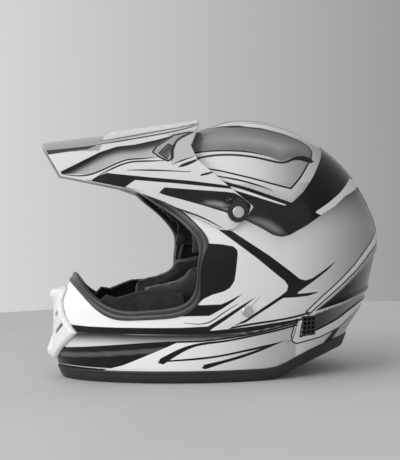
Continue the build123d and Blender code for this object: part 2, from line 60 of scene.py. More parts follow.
def spline(t, y):
    """A natural cubic spline through the values y at t."""
    n, h = len(t), np.diff(t)
    a, b = np.eye(n), np.zeros(n)
    for i in range(1, n - 1):
        a[i, i - 1:i + 2] = h[i - 1], 2 * (h[i - 1] + h[i]), h[i]
        b[i] = 6 * ((y[i + 1] - y[i]) / h[i] - (y[i] - y[i - 1]) / h[i - 1])
    m = np.linalg.solve(a, b)

    def value(x):
        x = np.asarray(x, float)
        i = np.clip(np.searchsorted(t, x) - 1, 0, n - 2)
        d, w = x - t[i], h[i]
        return (y[i] + d * ((y[i + 1] - y[i]) / w - w * (2 * m[i] + m[i + 1]) / 6)
                + d ** 2 * m[i] / 2 + d ** 3 * (m[i + 1] - m[i]) / (6 * w))
    return value


def lengths(points):
    """Distance along an open line of points, from its start to each of them."""
    return np.concatenate([[0], np.cumsum(np.linalg.norm(np.diff(points, axis=0), axis=1))])


# the loft's parameter: the mean of the lengths along its front, back and side lines
ALONG = sum(lengths(LEVELS[:, [column, 0]]) for column in (1, 2, 3)) / 3
LEVEL_AT = [spline(ALONG, LEVELS[:, i]) for i in range(7)]
DENSE = np.linspace(0, ALONG[-1], 3000)
DENSE_Z = LEVEL_AT[0](DENSE)
TINY = 1e-3                                    # keeps divisors off zero


def at_height(z):
    """The loft's parameter at a height."""
    return np.interp(z, DENSE_Z, DENSE)


def form_at(t):
    """Height, front, back, half width, widest X and roundness at t up the form."""
    z, front, back, half, widest, nf, nb = [f(t) for f in LEVEL_AT]
    return z, front, back, np.maximum(half, TINY), widest, nf, nb


def form_surface(t, phi):
    """Point of the shell's outside at t up the form and phi round it."""
    z, front, back, half, widest, nf, nb = form_at(t)
    c, s = np.cos(phi), np.sin(phi)
    reach = np.maximum(np.where(c < 0, widest - front, back - widest), TINY)
    n = np.where(c < 0, nf, nb)
    r = ((np.abs(c) / reach) ** n + (np.abs(s) / half) ** n) ** (-1 / n)
    return np.stack([widest + r * c, r * s, z + 0 * r], -1)


def form_value(p):
    """Below zero inside the form, above zero outside."""
    z, front, back, half, widest, nf, nb = form_at(at_height(p[..., 2]))
    dx = p[..., 0] - widest
    reach = np.maximum(np.where(dx < 0, widest - front, back - widest), TINY)
    n = np.where(dx < 0, nf, nb)
    return ((np.abs(dx) / reach) ** n + (np.abs(p[..., 1]) / half) ** n) ** (1 / n) - 1


def form_normal(p, step=0.4):
    """Outward direction of the form at points on it."""
    g = np.stack([form_value(p + step * e) - form_value(p - step * e) for e in np.eye(3)], -1)
    return g / np.maximum(np.linalg.norm(g, axis=-1, keepdims=True), 1e-9)


def form_side(x, z, side=-1):
    """The point of the shell's outside above a point of the side view, on one side."""
    x, z = np.asarray(x, float), np.asarray(z, float)
    _, front, back, half, widest, nf, nb = form_at(at_height(z))
    dx = x - widest
    reach = np.where(dx < 0, widest - front, back - widest)
    n = np.where(dx < 0, nf, nb)
    inside = np.clip(1 - (np.abs(dx) / np.maximum(reach, TINY)) ** n, 0, 1)
    return np.stack([x, side * half * inside ** (1 / n), z], -1)


# ======================================================================================
# Outlines and painted shapes in the side view (X, Z), millimetres
EYE_RIM = [(-104, 222), (-88, 208.5), (-78, 201), (-62, 189), (-44.5, 175), (-27, 157),
           (-19.5, 142), (-24.5, 127), (-27.6, 100), (-31, 81), (-45, 70.5), (-63, 67),
           (-90, 65.5), (-115, 67), (-130, 76), (-144, 91), (-155.6, 103), (-166, 112)]
EYE_EDGE = [(-110, 214), (-93, 202), (-84, 195.5), (-70, 184), (-52, 170), (-37, 155),
            (-29.2, 142), (-30.5, 117), (-33, 95), (-41, 83.5), (-57, 77.5), (-82, 75),
            (-107, 75.2), (-124, 82.5), (-138, 95), (-147.5, 110), (-157, 122)]
BASE_EDGE = [(-240, 0), (38, 0), (48, 1), (60, 5), (71, 10), (85, 15.5), (100, 20), (117, 24),
             (135, 25), (240, 25)]

BIG_BLACK = [(-26.4, 211.5), (-2.6, 203.3), (24, 195.1), (43.4, 187.7), (65.3, 179.6),
             (78.2, 189.7), (91.7, 204.5), (102.8, 218.7), (111.9, 230.6), (113, 240),
             (131.8, 250), (160, 228), (172, 204), (159.6, 196), (126.8, 184.2), (112.6, 174.6),
             (95.5, 165.7), (78.6, 155.9), (61.5, 147.6), (52.2, 146), (44.1, 148.2),
             (33.2, 155), (18.6, 162.8), (-2.3, 174.1), (-20.7, 184.4)]
BIG_GLOW = [(14, 165), (33.2, 155), (44.1, 148.2), (52.2, 146), (60.5, 148.2), (54.5, 155.8),
            (43.7, 164), (29.8, 168.4), (16, 170)]
BACK_STRIPE = [(141.5, 202.6), (159.6, 196), (126.8, 184.2), (112.6, 174.6), (95.6, 166.2),
               (89.2, 169.4), (103.5, 176.9), (120.9, 187.5)]
WINDOW_RIM = [(-16.4, 215.8), (-3.3, 213.3), (25.2, 205.5), (49.7, 198.1), (65.8, 193.5),
              (77, 203.8), (87.4, 215.8), (94.6, 224.1), (98.4, 230.5), (97.2, 235.9),
              (88.9, 242.6), (73.6, 249.3), (50, 256.4), (27.4, 259.4), (9.5, 259.3),
              (-6.4, 257.6), (-19.3, 252.6), (-29.4, 241.2), (-31.1, 234.6), (-28.3, 224.9)]
WINDOW = [(-29.9, 231.9), (-14.4, 233.8), (9.8, 233.7), (29.5, 231.4), (47.3, 227.4),
          (54.8, 222.6), (63, 220.9), (71.3, 223.8), (82, 225.8), (94.6, 224.1), (98.4, 230.5),
          (97.2, 235.9), (88.9, 242.6), (73.6, 249.3), (50, 256.4), (27.4, 259.4), (9.5, 259.3),
          (-6.4, 257.6), (-19.3, 252.6), (-29.4, 241.2)]
ARM_LINE = [(6.5, 197.1), (23.6, 191.2), (43, 183.7), (56.9, 178.6), (56.8, 177.2),
            (42.9, 181.7), (23.4, 188.5), (6.2, 194.3)]
DIAGONAL = [(-11.8, 156.7), (3.5, 153.4), (18, 143.2), (40.8, 127.6), (61.3, 111.8),
            (71.9, 103.2), (78.3, 101.3), (85.9, 103.5), (100.1, 111.8), (116.1, 122.5),
            (102.4, 110.6), (87, 100.3), (67.8, 88.2), (80.7, 88.5), (97.4, 89.4), (80.8, 85.4),
            (66.8, 84.7), (55.3, 84.8), (52.2, 83.4), (32.8, 71.7), (16.7, 61.7), (1.7, 57.6),
            (16.7, 64.7), (32.8, 75.2), (51.1, 86.5), (58.3, 91.8), (59.6, 96.7), (56.1, 102),
            (45.8, 110.4), (28.7, 125), (11, 138.9)]
SIDE_PATCH = [(-37.2, 142), (-21, 141.9), (-6.6, 140.6), (4.1, 138.3), (7.9, 135.1),
              (8.7, 130.6), (6.7, 112.8), (5.2, 103.9), (0.7, 97), (-5.2, 93.7), (-17, 90.5),
              (-25.8, 86.2), (-32.6, 79.7), (-42.3, 79.9)]
WEDGE = [(-48.1, 80), (-28.7, 80.4), (-8.2, 80.7), (-1.3, 83.5), (15.6, 92.2), (4.6, 83.9),
         (-7.2, 76.1), (-19.5, 69.4), (-48.2, 69.2)]
SILL = [(-157.7, 58.4), (-135.9, 57.7), (-87.1, 57.7), (-48.3, 57.7), (-21, 58.7), (-7.2, 67),
        (10.6, 78.1), (29.6, 89), (12.6, 76), (-4.3, 64.4), (-20, 54.1), (2.7, 55.7),
        (31, 58), (56.9, 60.9), (77.2, 62.9), (77.3, 61.4), (57, 57), (31, 53.3), (10.8, 50.9),
        (-14.1, 50.2), (-48.3, 50.5), (-87.2, 51), (-126.2, 51.5), (-155.9, 50.3)]
SILL_GREY = [(-170, 50.5), (-126.2, 52.6), (-87.2, 51.5), (-48.3, 50.8), (-14.1, 50.4),
             (10.8, 51.1), (31, 53.5), (57, 57.2), (73, 60.6), (69.8, 58.8), (51.8, 54.7),
             (20.9, 49.2), (0.8, 46.6), (-28.8, 43.8), (-48.4, 43.3), (-87.4, 41.2),
             (-126.6, 37.6), (-170, 32.5)]
LINE_1 = [(1.7, 57.4), (20.8, 60.4), (41.1, 62.6), (72.7, 66.8), (82.5, 69), (82.6, 66.8),
          (72.8, 64.6), (41.2, 60.5), (20.8, 58.3), (2.7, 55.8)]
LINE_3 = [(-166.5, 33.6), (-126.5, 38.2), (-87.3, 42), (-48.4, 44.1), (-28.8, 44.6),
          (0.8, 47.4), (20.9, 50), (51.8, 55.6), (69.8, 59.6), (70.9, 57.9), (51.8, 53.7),
          (20.9, 48.1), (0.9, 45.5), (-28.8, 42.7), (-48.4, 42.3), (-87.4, 40.1),
          (-126.6, 36.3), (-166.5, 31.7)]
LINE_4 = [(-69, 23.3), (-34.7, 40.7), (-9.1, 43.7), (21, 48.1), (51.8, 53.4), (68.8, 57),
          (68.9, 54.8), (51.9, 51.3), (21, 46.1), (-9.1, 41.6), (-33.7, 38), (-62.2, 23.8)]
LINE_5 = [(-69, 23.7), (-53.4, 24.9), (-28.8, 26.9), (-9, 29), (16.1, 33.5), (36.6, 37.1),
          (58, 40.4), (36.7, 34.7), (16.1, 31.2), (-9, 27), (-28.8, 24.6), (-53.4, 23.1),
          (-68.1, 22.3)]
LINE_6 = [(-25.8, 17.6), (-6.9, 22.9), (11.1, 27.6), (29.4, 32.9), (58, 40.4), (31.5, 31.1),
          (13.2, 25.4), (-4.9, 20.6), (-20.8, 16.6)]
CHIN_BLACK = [(-190, 31.6), (-160.5, 33.2), (-126.6, 37.1), (-87.4, 40.7), (-50.3, 42.8),
              (-105, 18.4), (-140, 8), (-190, 8)]
TAIL_WHITE = [(185, 140), (171.5, 136), (156, 125.1), (138, 109), (119.5, 95), (102.2, 82.4),
              (85.8, 69.6), (82.6, 66.2), (80.3, 69), (97.6, 83.7), (114.6, 96.4), (132.5, 111),
              (149.7, 127.8), (161.3, 138.2), (170, 146), (185, 150)]
TAIL_DARK = [(190, 129), (172, 127), (160, 119.4), (139.6, 104.6), (121, 90.7), (104.7, 79),
             (88.1, 68.4), (106.3, 72.3), (124.5, 76.1), (146.5, 82.4), (165, 86), (190, 88)]
TAIL_GREY = [(89.3, 65.7), (106.4, 70), (124.7, 73.9), (146.8, 80.7), (165, 84), (190, 86),
             (190, 76), (160, 74.5), (148, 72.5), (142.3, 69.9), (132.9, 63.6), (118, 56.3),
             (96.7, 48.3), (85.3, 44.7), (87.9, 54.7)]
LIP = [(77.3, 62.4), (68.7, 58.3), (65.4, 44.9), (66.9, 38.9), (71.1, 37), (97.6, 41.1),
       (122.4, 48.7), (132.6, 56.3), (149, 67), (165, 70), (190, 70), (190, 76), (160, 74.5),
       (148, 72.5), (142.8, 70.3), (132.7, 64.8), (117.8, 56.8), (96.7, 48.9), (80.8, 43.5),
       (73.6, 42), (74.1, 50.5), (75.3, 57.8)]
GRILLE = [(74, 66), (91, 65), (93, 43), (75, 43)]
REAR_BAR = [(128.9, 55.2), (118.1, 49.5), (108.1, 38.5), (96.3, 27.7), (84.7, 18.4),
            (97.1, 17.8), (105.5, 26.3), (118.1, 40.2)]


FAR = 99.0                                     # a painted shape that is nowhere near


def distance(points, outline):
    """Signed distance of side-view points to a closed outline, below zero inside it."""
    poly = np.asarray(outline, float)
    nearest, inside = np.full(len(points), 1e9), np.zeros(len(points), bool)
    x, z = points[:, 0], points[:, 1]
    for (ax, az), (bx, bz) in zip(poly, np.roll(poly, -1, axis=0)):
        ex, ez = bx - ax, bz - az
        along = np.clip(((x - ax) * ex + (z - az) * ez) / max(ex * ex + ez * ez, 1e-9), 0, 1)
        nearest = np.minimum(nearest, (x - ax - along * ex) ** 2 + (z - az - along * ez) ** 2)
        crosses = (az > z) != (bz > z)
        inside ^= crosses & (x < ax + (z - az) * ex / (ez if abs(ez) > 1e-9 else 1e-9))
    return np.where(inside, -1, 1) * np.sqrt(nearest)


def smooth_outline(points, count):
    """Points along a smooth open curve through the given ones."""
    pts = np.asarray(points, float)
    t = lengths(pts)
    s = np.linspace(0, t[-1], count)
    return np.stack([spline(t, pts[:, 0])(s), spline(t, pts[:, 1])(s)], -1)


def centred(outline):
    """Middle line and half widths of a thin shape whose points run out and back."""
    pts = np.asarray(outline, float)
    k = len(pts) // 2
    out, back = pts[:k], pts[len(pts) - k:][::-1]
    line = np.column_stack([(out + back) / 2, np.linalg.norm(out - back, axis=1) / 2])
    if len(pts) % 2:
        line = np.vstack([line, [*pts[k], 0.05]])
    return line


def line_fields(points, lines):
    """Signed and plain distances to the nearest of several middle lines, and its half width."""
    x, z = points[:, 0], points[:, 1]
    near, signed, wide = (np.full(len(x), v) for v in (1e3, 1e3, 0.0))
    for line in lines:
        line = np.asarray(line, float)
        if len(line) > 2:
            t = lengths(line[:, :2])
            u = np.linspace(0, t[-1], 5 * len(line))
            line = np.column_stack([spline(t, line[:, 0])(u), spline(t, line[:, 1])(u),
                                    np.interp(u, t, line[:, 2])])
        for (ax, az, aw), (bx, bz, bw) in zip(line[:-1], line[1:]):
            ex, ez = bx - ax, bz - az
            t = np.clip(((x - ax) * ex + (z - az) * ez) / (ex * ex + ez * ez), 0, 1)
            d = np.hypot(x - ax - t * ex, z - az - t * ez)
            side = np.where(ex * (z - az) - ez * (x - ax) < 0, -1, 1)
            closer = d < near
            near = np.where(closer, d, near)
            signed = np.where(closer, side * d, signed)
            wide = np.where(closer, aw + t * (bw - aw), wide)
    return signed, near, wide


def widths(width, *points):
    """A line of even half width, thinned at its two ends."""
    line = [(x, z, width) for x, z in points]
    line[0], line[-1] = (*points[0], width * 0.4), (*points[-1], width * 0.4)
    return line


def eyeport_outline(points):
    """One of the eyeport's edges, closed well in front of the helmet."""
    edge = smooth_outline(points, 160)
    return np.vstack([edge, [(-260, points[-1][1] + 6), (-260, points[0][1])]])


# ======================================================================================
# Mesh and material helpers
def linked(name, data):
    obj = bpy.data.objects.new(name, data)
    bpy.context.scene.collection.objects.link(obj)
    return obj


def mesh_object(name, verts_mm, faces, body, node, slot):
    """A smooth mesh that stands for a CAD node and rides on its body."""
    mesh = bpy.data.meshes.new(name)
    mesh.from_pydata((np.asarray(verts_mm, float) * MM).tolist(), [], faces)
    mesh.validate()
    mesh.shade_smooth()
    obj = linked(name, mesh)
    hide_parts(node)
    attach(obj, body)
    return obj


def grid_faces(rows, cols, closed_rows=False, closed_cols=False):
    faces = []
    for i in range(rows if closed_rows else rows - 1):
        for j in range(cols if closed_cols else cols - 1):
            a, b, k = i * cols, (i + 1) % rows * cols, (j + 1) % cols
            faces.append((a + j, a + k, b + k, b + j))
    return faces


def ring_quads(rows, cols):
    """The quads of stacked closed rings, as an array."""
    index = np.arange(rows * cols).reshape(rows, cols)
    after = np.roll(index, -1, 1)
    return np.stack([index[:-1], after[:-1], after[1:], index[1:]], -1).reshape(-1, 4)


def renumbered(quads, count):
    """The points that some quads use, and those quads by their new numbers."""
    used = np.unique(quads)
    order = np.full(count, -1)
    order[used] = np.arange(len(used))
    return used, order[quads]


def positions(obj):
    """Mesh points of a piece, in metres."""
    co = np.zeros(len(obj.data.vertices) * 3)
    obj.data.vertices.foreach_get("co", co)
    return co.reshape(-1, 3)


def settle(obj):
    """Apply every modifier of a piece."""
    bpy.context.view_layer.update()
    deps = bpy.context.evaluated_depsgraph_get()
    mesh = bpy.data.meshes.new_from_object(obj.evaluated_get(deps))
    obj.modifiers.clear()
    obj.data = mesh


def cut_away(obj, cutter):
    """Take the cutter's prisms out of a piece."""
    cut = obj.modifiers.new("cuts", "BOOLEAN")
    cut.operation, cut.object, cut.solver = "DIFFERENCE", cutter, "EXACT"
    settle(obj)


def unit(vectors):
    return vectors / np.linalg.norm(vectors, axis=-1, keepdims=True)


def attribute(obj, name, values):
    layer = obj.data.attributes.new(name, "FLOAT", "POINT")
    layer.data.foreach_set("value", np.asarray(values, np.float32))


class Nodes:
    """A small builder for one material's nodes. A value may be a number, a colour or a socket."""

    def __init__(self, name, **principled):
        self.material = bpy.data.materials.new(name)
        self.material.use_nodes = True
        self.tree = self.material.node_tree
        self.shader = self.tree.nodes["Principled BSDF"]
        for key, value in principled.items():
            self.shader.inputs[key.replace("_", " ")].default_value = value
        self.coords = None

    def new(self, kind, **settings):
        node = self.tree.nodes.new(kind)
        for key, value in settings.items():
            setattr(node, key, value)
        return node

    def put(self, node, socket, value):
        if isinstance(value, bpy.types.NodeSocket):
            self.tree.links.new(value, node.inputs[socket])
        else:
            if isinstance(value, tuple) and len(value) == 3:
                value = (*value, 1.0)
            node.inputs[socket].default_value = value

    def attr(self, name):
        return self.new("ShaderNodeAttribute", attribute_name=name).outputs["Fac"]

    def object_coords(self):
        if self.coords is None:
            self.coords = self.new("ShaderNodeTexCoord").outputs["Object"]
        return self.coords

    def math(self, op, a, b=0.0):
        node = self.new("ShaderNodeMath", operation=op)
        self.put(node, 0, a)
        self.put(node, 1, b)
        return node.outputs[0]

    def ramp(self, value, low, high, out_low=0.0, out_high=1.0):
        """A smooth step from out_low at low to out_high at high."""
        node = self.new("ShaderNodeMapRange", interpolation_type="SMOOTHSTEP")
        for key, v in ((0, value), (1, low), (2, high), (3, out_low), (4, out_high)):
            self.put(node, key, v)
        return node.outputs[0]

    def mix(self, factor, a, b):
        node = self.new("ShaderNodeMix", data_type="RGBA")
        self.put(node, 0, factor)
        self.put(node, 6, a)
        self.put(node, 7, b)
        return node.outputs[2]

    def noise(self, scale, detail=3.0, rough=0.5, vector=None):
        node = self.new("ShaderNodeTexNoise")
        self.put(node, "Vector", vector or self.object_coords())
        self.put(node, "Scale", scale)
        self.put(node, "Detail", detail)
        self.put(node, "Roughness", rough)
        return node.outputs[0]

    def wave(self, direction, scale, distortion=0.0):
        node = self.new("ShaderNodeTexWave", bands_direction=direction)
        self.put(node, "Vector", self.object_coords())
        self.put(node, "Scale", scale)
        self.put(node, "Distortion", distortion)
        return node.outputs["Fac"]

    def stretched(self, x, y, z):
        """Object coordinates, scaled along each axis."""
        node = self.new("ShaderNodeMapping")
        self.put(node, 0, self.object_coords())
        node.inputs[3].default_value = (x, y, z)
        return node.outputs[0]

    def bump(self, height, strength, distance, normal=None):
        node = self.new("ShaderNodeBump")
        self.put(node, "Height", height)
        self.put(node, "Strength", strength)
        self.put(node, "Distance", distance)
        if normal is not None:
            self.put(node, "Normal", normal)
        return node.outputs[0]

    def shade(self, **inputs):
        for key, value in inputs.items():
            self.put(self.shader, key.replace("_", " "), value)
        return self.material


def painted_plastic(name="painted_lacquer"):
    """Glossy lacquer over flat painted shapes, which come from distances kept on the mesh.

    tone is the grey beneath the filled shapes, with painted shade and painted highlight in the
    spine's bands; black and white are distances to filled shapes; gloom lightens the black, in
    places as a painted highlight; rim and edge are outlines drawn in black; line_a and line_b are
    thin black lines and line_c thin white ones, some of them painted shade and highlight along the
    back's crease, each with its half width and a plain distance that ends it."""
    n = Nodes(name, Coat_Weight=0.15, Coat_Roughness=0.05, Specular_IOR_Level=0.2)
    crisp = 0.3                                # half the soft border of a painted shape, mm
    rim_half, edge_half, line_end = 0.85, 0.7, 1.6
    black, off_white = (0.006, 0.006, 0.007), (0.76, 0.76, 0.75)
    base = n.mix(n.attr("tone"), (0.0, 0.0, 0.0), (1.0, 1.0, 1.0))
    dark = n.mix(n.attr("gloom"), black, (0.42, 0.42, 0.42))
    colour = n.mix(n.ramp(n.attr("black"), -crisp, crisp, 1, 0), base, dark)
    colour = n.mix(n.ramp(n.attr("white"), -crisp, crisp, 1, 0), colour, off_white)
    rim = n.math("SUBTRACT", n.math("ABSOLUTE", n.attr("rim")), rim_half)
    edge = n.math("SUBTRACT", n.attr("edge"), edge_half)
    edge = n.math("SUBTRACT", n.math("ABSOLUTE", edge), edge_half)
    lines = []
    for group in "abc":
        half = n.attr("half_" + group)
        line = n.math("SUBTRACT", n.math("ABSOLUTE", n.attr("line_" + group)), half)
        near = n.math("SUBTRACT", n.attr("near_" + group), n.math("ADD", half, line_end))
        lines.append(n.math("MAXIMUM", line, near))
    key = n.math("MINIMUM", n.math("MINIMUM", rim, edge), n.math("MINIMUM", lines[0], lines[1]))
    colour = n.mix(n.ramp(key, -crisp, crisp, 1, 0), colour, black)
    colour = n.mix(n.ramp(lines[2], -crisp, crisp, 1, 0), colour, (0.72, 0.72, 0.71))
    dust = n.ramp(n.noise(60, 5, 0.65), 0.45, 0.8, 0.0, 0.025)
    colour = n.mix(dust, colour, (0.38, 0.38, 0.37))
    scratch = n.noise(12, 6, 0.7, n.stretched(3, 3, 40))
    rough = n.math("ADD", n.ramp(n.noise(35, 5, 0.6), 0.3, 0.75, 0.13, 0.24),
                   n.ramp(scratch, 0.6, 0.75, 0.0, 0.1))
    bump = n.bump(n.noise(420, 2), 0.05, 0.0004, n.bump(scratch, 0.03, 0.0006))
    return n.shade(Base_Color=colour, Roughness=rough, Normal=bump)


def set_paint(obj, side, tone, lines=(), spine=None, bare=False, **fields):
    """Every painted mesh carries the same distances; a missing one is far off."""
    far = np.full(len(side), FAR)
    for name in ("black", "white", "rim", "edge"):
        attribute(obj, name, fields.get(name, far))
    for group, some in zip("abc", [*lines, [], [], []]):
        signed, near, half = line_fields(side, some)
        for across, where, place, w in (spine or {}).get(group, []):
            off = across - place
            closer = where & (np.abs(off) < near)
            signed, near = np.where(closer, off, signed), np.where(closer, np.abs(off), near)
            half = np.where(closer, w, half)
        near = np.where(bare, FAR, near)                 # no lines on a bare face
        attribute(obj, "line_" + group, signed)
        attribute(obj, "near_" + group, near)
        attribute(obj, "half_" + group, half)
    attribute(obj, "tone", np.clip(tone, 0, 1))
    attribute(obj, "gloom", np.clip(fields.get("gloom", far * 0), 0, 1))


def rubber(name="edge_rubber", colour=0.022, rough=(0.42, 0.62)):
    n = Nodes(name)
    grain = n.noise(900, 3, 0.6)
    wear = n.ramp(n.noise(24, 5, 0.65), 0.42, 0.75, 0.0, 0.5)
    base = n.mix(wear, (colour, colour, colour * 1.05), (colour * 2.6,) * 3)
    rough = n.ramp(n.noise(50, 4), 0.3, 0.7, *rough)
    return n.shade(Base_Color=base, Roughness=rough, Normal=n.bump(grain, 0.25, 0.0003))


def foam(name="moulded_foam"):
    n = Nodes(name)
    beads = n.new("ShaderNodeTexVoronoi")
    n.put(beads, "Vector", n.object_coords())
    n.put(beads, "Scale", 330.0)
    base = n.mix(n.ramp(beads.outputs["Distance"], 0.1, 0.8),
                 (0.014, 0.014, 0.015), (0.005, 0.005, 0.006))
    return n.shade(Base_Color=base, Roughness=n.ramp(n.noise(40), 0.3, 0.7, 0.75, 0.95),
                   Normal=n.bump(beads.outputs["Distance"], 0.4, 0.0006))


def fabric(name="liner_fabric", colour=0.011):
    n = Nodes(name, Sheen_Weight=0.3, Sheen_Roughness=0.5)
    weave = n.math("MULTIPLY", n.wave("X", 330.0, 1.0), n.wave("Z", 330.0, 1.0))
    base = n.mix(n.ramp(n.noise(30, 4), 0.3, 0.7), (colour,) * 3, (colour * 1.9,) * 3)
    return n.shade(Base_Color=base, Roughness=n.ramp(weave, 0, 1, 0.75, 0.95),
                   Normal=n.bump(weave, 0.5, 0.0006))


def metal(name, colour=0.62, rough=(0.2, 0.38)):
    n = Nodes(name, Metallic=1.0)
    brushed = n.noise(30, 6, 0.7, n.stretched(4, 4, 60))
    base = n.mix(n.ramp(n.noise(70, 4), 0.35, 0.7), (colour,) * 3, (colour * 0.75,) * 3)
    return n.shade(Base_Color=base, Roughness=n.ramp(brushed, 0.3, 0.7, *rough),
                   Normal=n.bump(brushed, 0.12, 0.0003))


def plastic(name, colour=0.02, rough=(0.35, 0.5)):
    n = Nodes(name)
    base = n.mix(n.ramp(n.noise(45, 5, 0.6), 0.35, 0.75),
                 (colour,) * 3, (colour * 1.6 + 0.003,) * 3)
    return n.shade(Base_Color=base, Roughness=n.ramp(n.noise(80, 3), 0.3, 0.7, *rough),
                   Normal=n.bump(n.noise(1100, 2), 0.18, 0.0002))


def assign(obj, material):
    obj.data.materials.clear()
    obj.data.materials.append(material)


PAINT, RUBBER, FOAM, FABRIC = painted_plastic(), rubber(colour=0.014), foam(), fabric()
LIP_RUBBER = rubber("lip_rubber", 0.04, (0.3, 0.45))
ALLOY, STEEL = metal("screw_alloy"), metal("insert_steel", 0.4)
CHROME = metal("chromed_steel", 0.7, (0.08, 0.2))
BLACK_PLASTIC = plastic("black_plastic")


def glide(value, low, high):
    """From 0 at low to 1 at high, easing in and out."""
    t = np.clip((value - low) / (high - low), 0, 1)
    return t * t * (3 - 2 * t)


# ======================================================================================
# Outer shell
def base_height(x):
    """Height of the shell's lower edge."""
    edge = np.array(BASE_EDGE, float)
    return np.interp(x, edge[:, 0], edge[:, 1])


SHELL_LINES = [
    [centred(LINE_1), centred(LINE_3), centred(LINE_5),
     [(-31, 231.8, 0.9), (-14.5, 233.5, 0.9), (9.8, 233.5, 0.9), (29.5, 231.4, 0.8),
      (51, 226, 0.3)],
     widths(0.9, (-14.5, 209.5), (6, 205.3), (27, 199.5), (45.5, 192.5)),
     widths(0.5, (60, 38.5), (66, 42), (68.5, 50), (71.5, 59)),
     widths(0.5, (18, 73), (30, 86.5))],
    [centred(LINE_4), centred(LINE_6),
     [(-39.6, 221.5, 1.8), (-28.3, 225.1, 1.1), (-15.5, 228.1, 1.1), (4.1, 229.4, 1.1),
      (23.8, 227.8, 1.1), (40.5, 224.4, 1.1), (53.4, 221, 1.1), (64, 220.2, 1.1),
      (72.9, 223.1, 1.2), (80.8, 224.2, 2.2), (88.5, 223, 3.0), (93.5, 221.5, 2.6)],
     widths(0.6, (-44, 62.6), (-20, 62.9), (-8, 70.5), (9, 81))],
    [centred(ARM_LINE), widths(0.5, (-165, 15.6), (-120, 14.6), (-80, 14.4))],
]


CREASE = 37                                    # Y of the crease on each side of the back


def laid_in(tone, shape, new):
    """The tone, with a new one inside a shape given by distance."""
    inside = 1 - glide(shape, -0.4, 0.4)
    return tone * (1 - inside) + inside * new


def shell_paint(obj, p):
    """Distances to the painted shapes and soft tones, one set of values per vertex."""
    side, across = p[:, [0, 2]], np.abs(p[:, 1])
    x, z = p[:, 0], p[:, 2]
    rim, window, big, glow, sill, sill_grey, chin, tail_white, tail_dark, tail_grey, lip = [
        distance(side, o) for o in (WINDOW_RIM, WINDOW, BIG_BLACK, BIG_GLOW, SILL, SILL_GREY,
                                    CHIN_BLACK, TAIL_WHITE, TAIL_DARK, TAIL_GREY, LIP)]
    black = np.minimum.reduce([big, sill, chin, tail_dark] + [
        distance(side, o) for o in (DIAGONAL, SIDE_PATCH, WEDGE, REAR_BAR)])
    white = np.minimum.reduce([distance(side, BACK_STRIPE), tail_white, lip])
    # soft tones: darker to the rear and the top, lightest at the chin
    tone = 0.80 - 0.48 * glide(x, 45, 172) - 0.13 * glide(z, 150, 185)
    tone = tone + 0.12 * (1 - glide(z, 85, 130)) * (1 - glide(x, -70, 10))
    in_window = 1 - glide(window, -0.5, 0.0)
    tone = tone * (1 - in_window) + in_window * (0.16 + 0.17 * glide(-window, 1, 20))
    below = (rim < 0) & (window > 0)
    tone = np.where(below, 0.66 - 0.38 * glide(x, 20, 95), tone)
    tone = tone - 0.22 * np.exp(-np.clip(big, 0, None) / 8) * (big > 0) * (z < 200) * (x > 10)
    tone = np.where((z < 60) & (sill > 0) & (sill_grey > 0) & (chin > 0) & (x < 70),
                    tone - 0.25 * glide(x, -20, 60), tone)
    tone = laid_in(tone, sill_grey, 0.03 + 0.62 * glide(sill, 1, 13))
    tone = laid_in(tone, tail_grey, 0.06 + 0.24 * glide(x, 95, 150))
    # lighter parts of the black: painted highlights on the glossy black inside BIG_GLOW and on
    # the raised spine inside the crease; the tail's black greys towards the rear, and a grey line
    # crosses the chin's black
    gloom = 0.6 * (1 - glide(glow, -9, 0.5)) * (big < 0)
    gloom = np.maximum(gloom, 0.5 * glide(x, 120, 168) * (tail_dark < 1))
    gloom = np.maximum(gloom, 0.12 * glide(CREASE - across, 0.2, 1.0) * (big < 1) * (z > 150))
    gloom = np.maximum(gloom, 0.22 * (chin < 0) * (1 - glide(np.abs(z - 0.09 * x - 41), 1.5, 3)))
    # bands along the spine, and the crease that runs down from them: the spine's dark and light
    # bands are painted shade and painted highlight of its raised ridge, and the crease's lines are
    # its edge as a painted highlight on the black and a painted shade line on the light paint
    spine = (z > 228) & (rim > 1.5) & (big > 0)
    tone = np.where(spine & (across < 20), 0.2, tone)
    tone = np.where(spine & (across > 20) & (across < 36), 0.74, tone)
    bands = {"b": [(across, spine, place, w) for place, w in ((20, 0.8), (28, 0.6))]
             + [(across, (big > 0) & (x > 120) & (z > 128), CREASE, 0.5)],
             "c": [(across, (big < 0) & (x > 85), CREASE, 0.55)]}
    set_paint(obj, side, tone, SHELL_LINES, bands, black=black, white=white, rim=rim,
              edge=np.minimum(tail_white, lip), gloom=gloom)


def mouth_opening(p, room):
    """Below zero in the opening behind the mouth vent, which grows by the given room."""
    return np.maximum.reduce([np.abs(p[:, 1]) - 26 - room, np.abs(p[:, 2] - 55) - 18 - room,
                              p[:, 0] + 100])


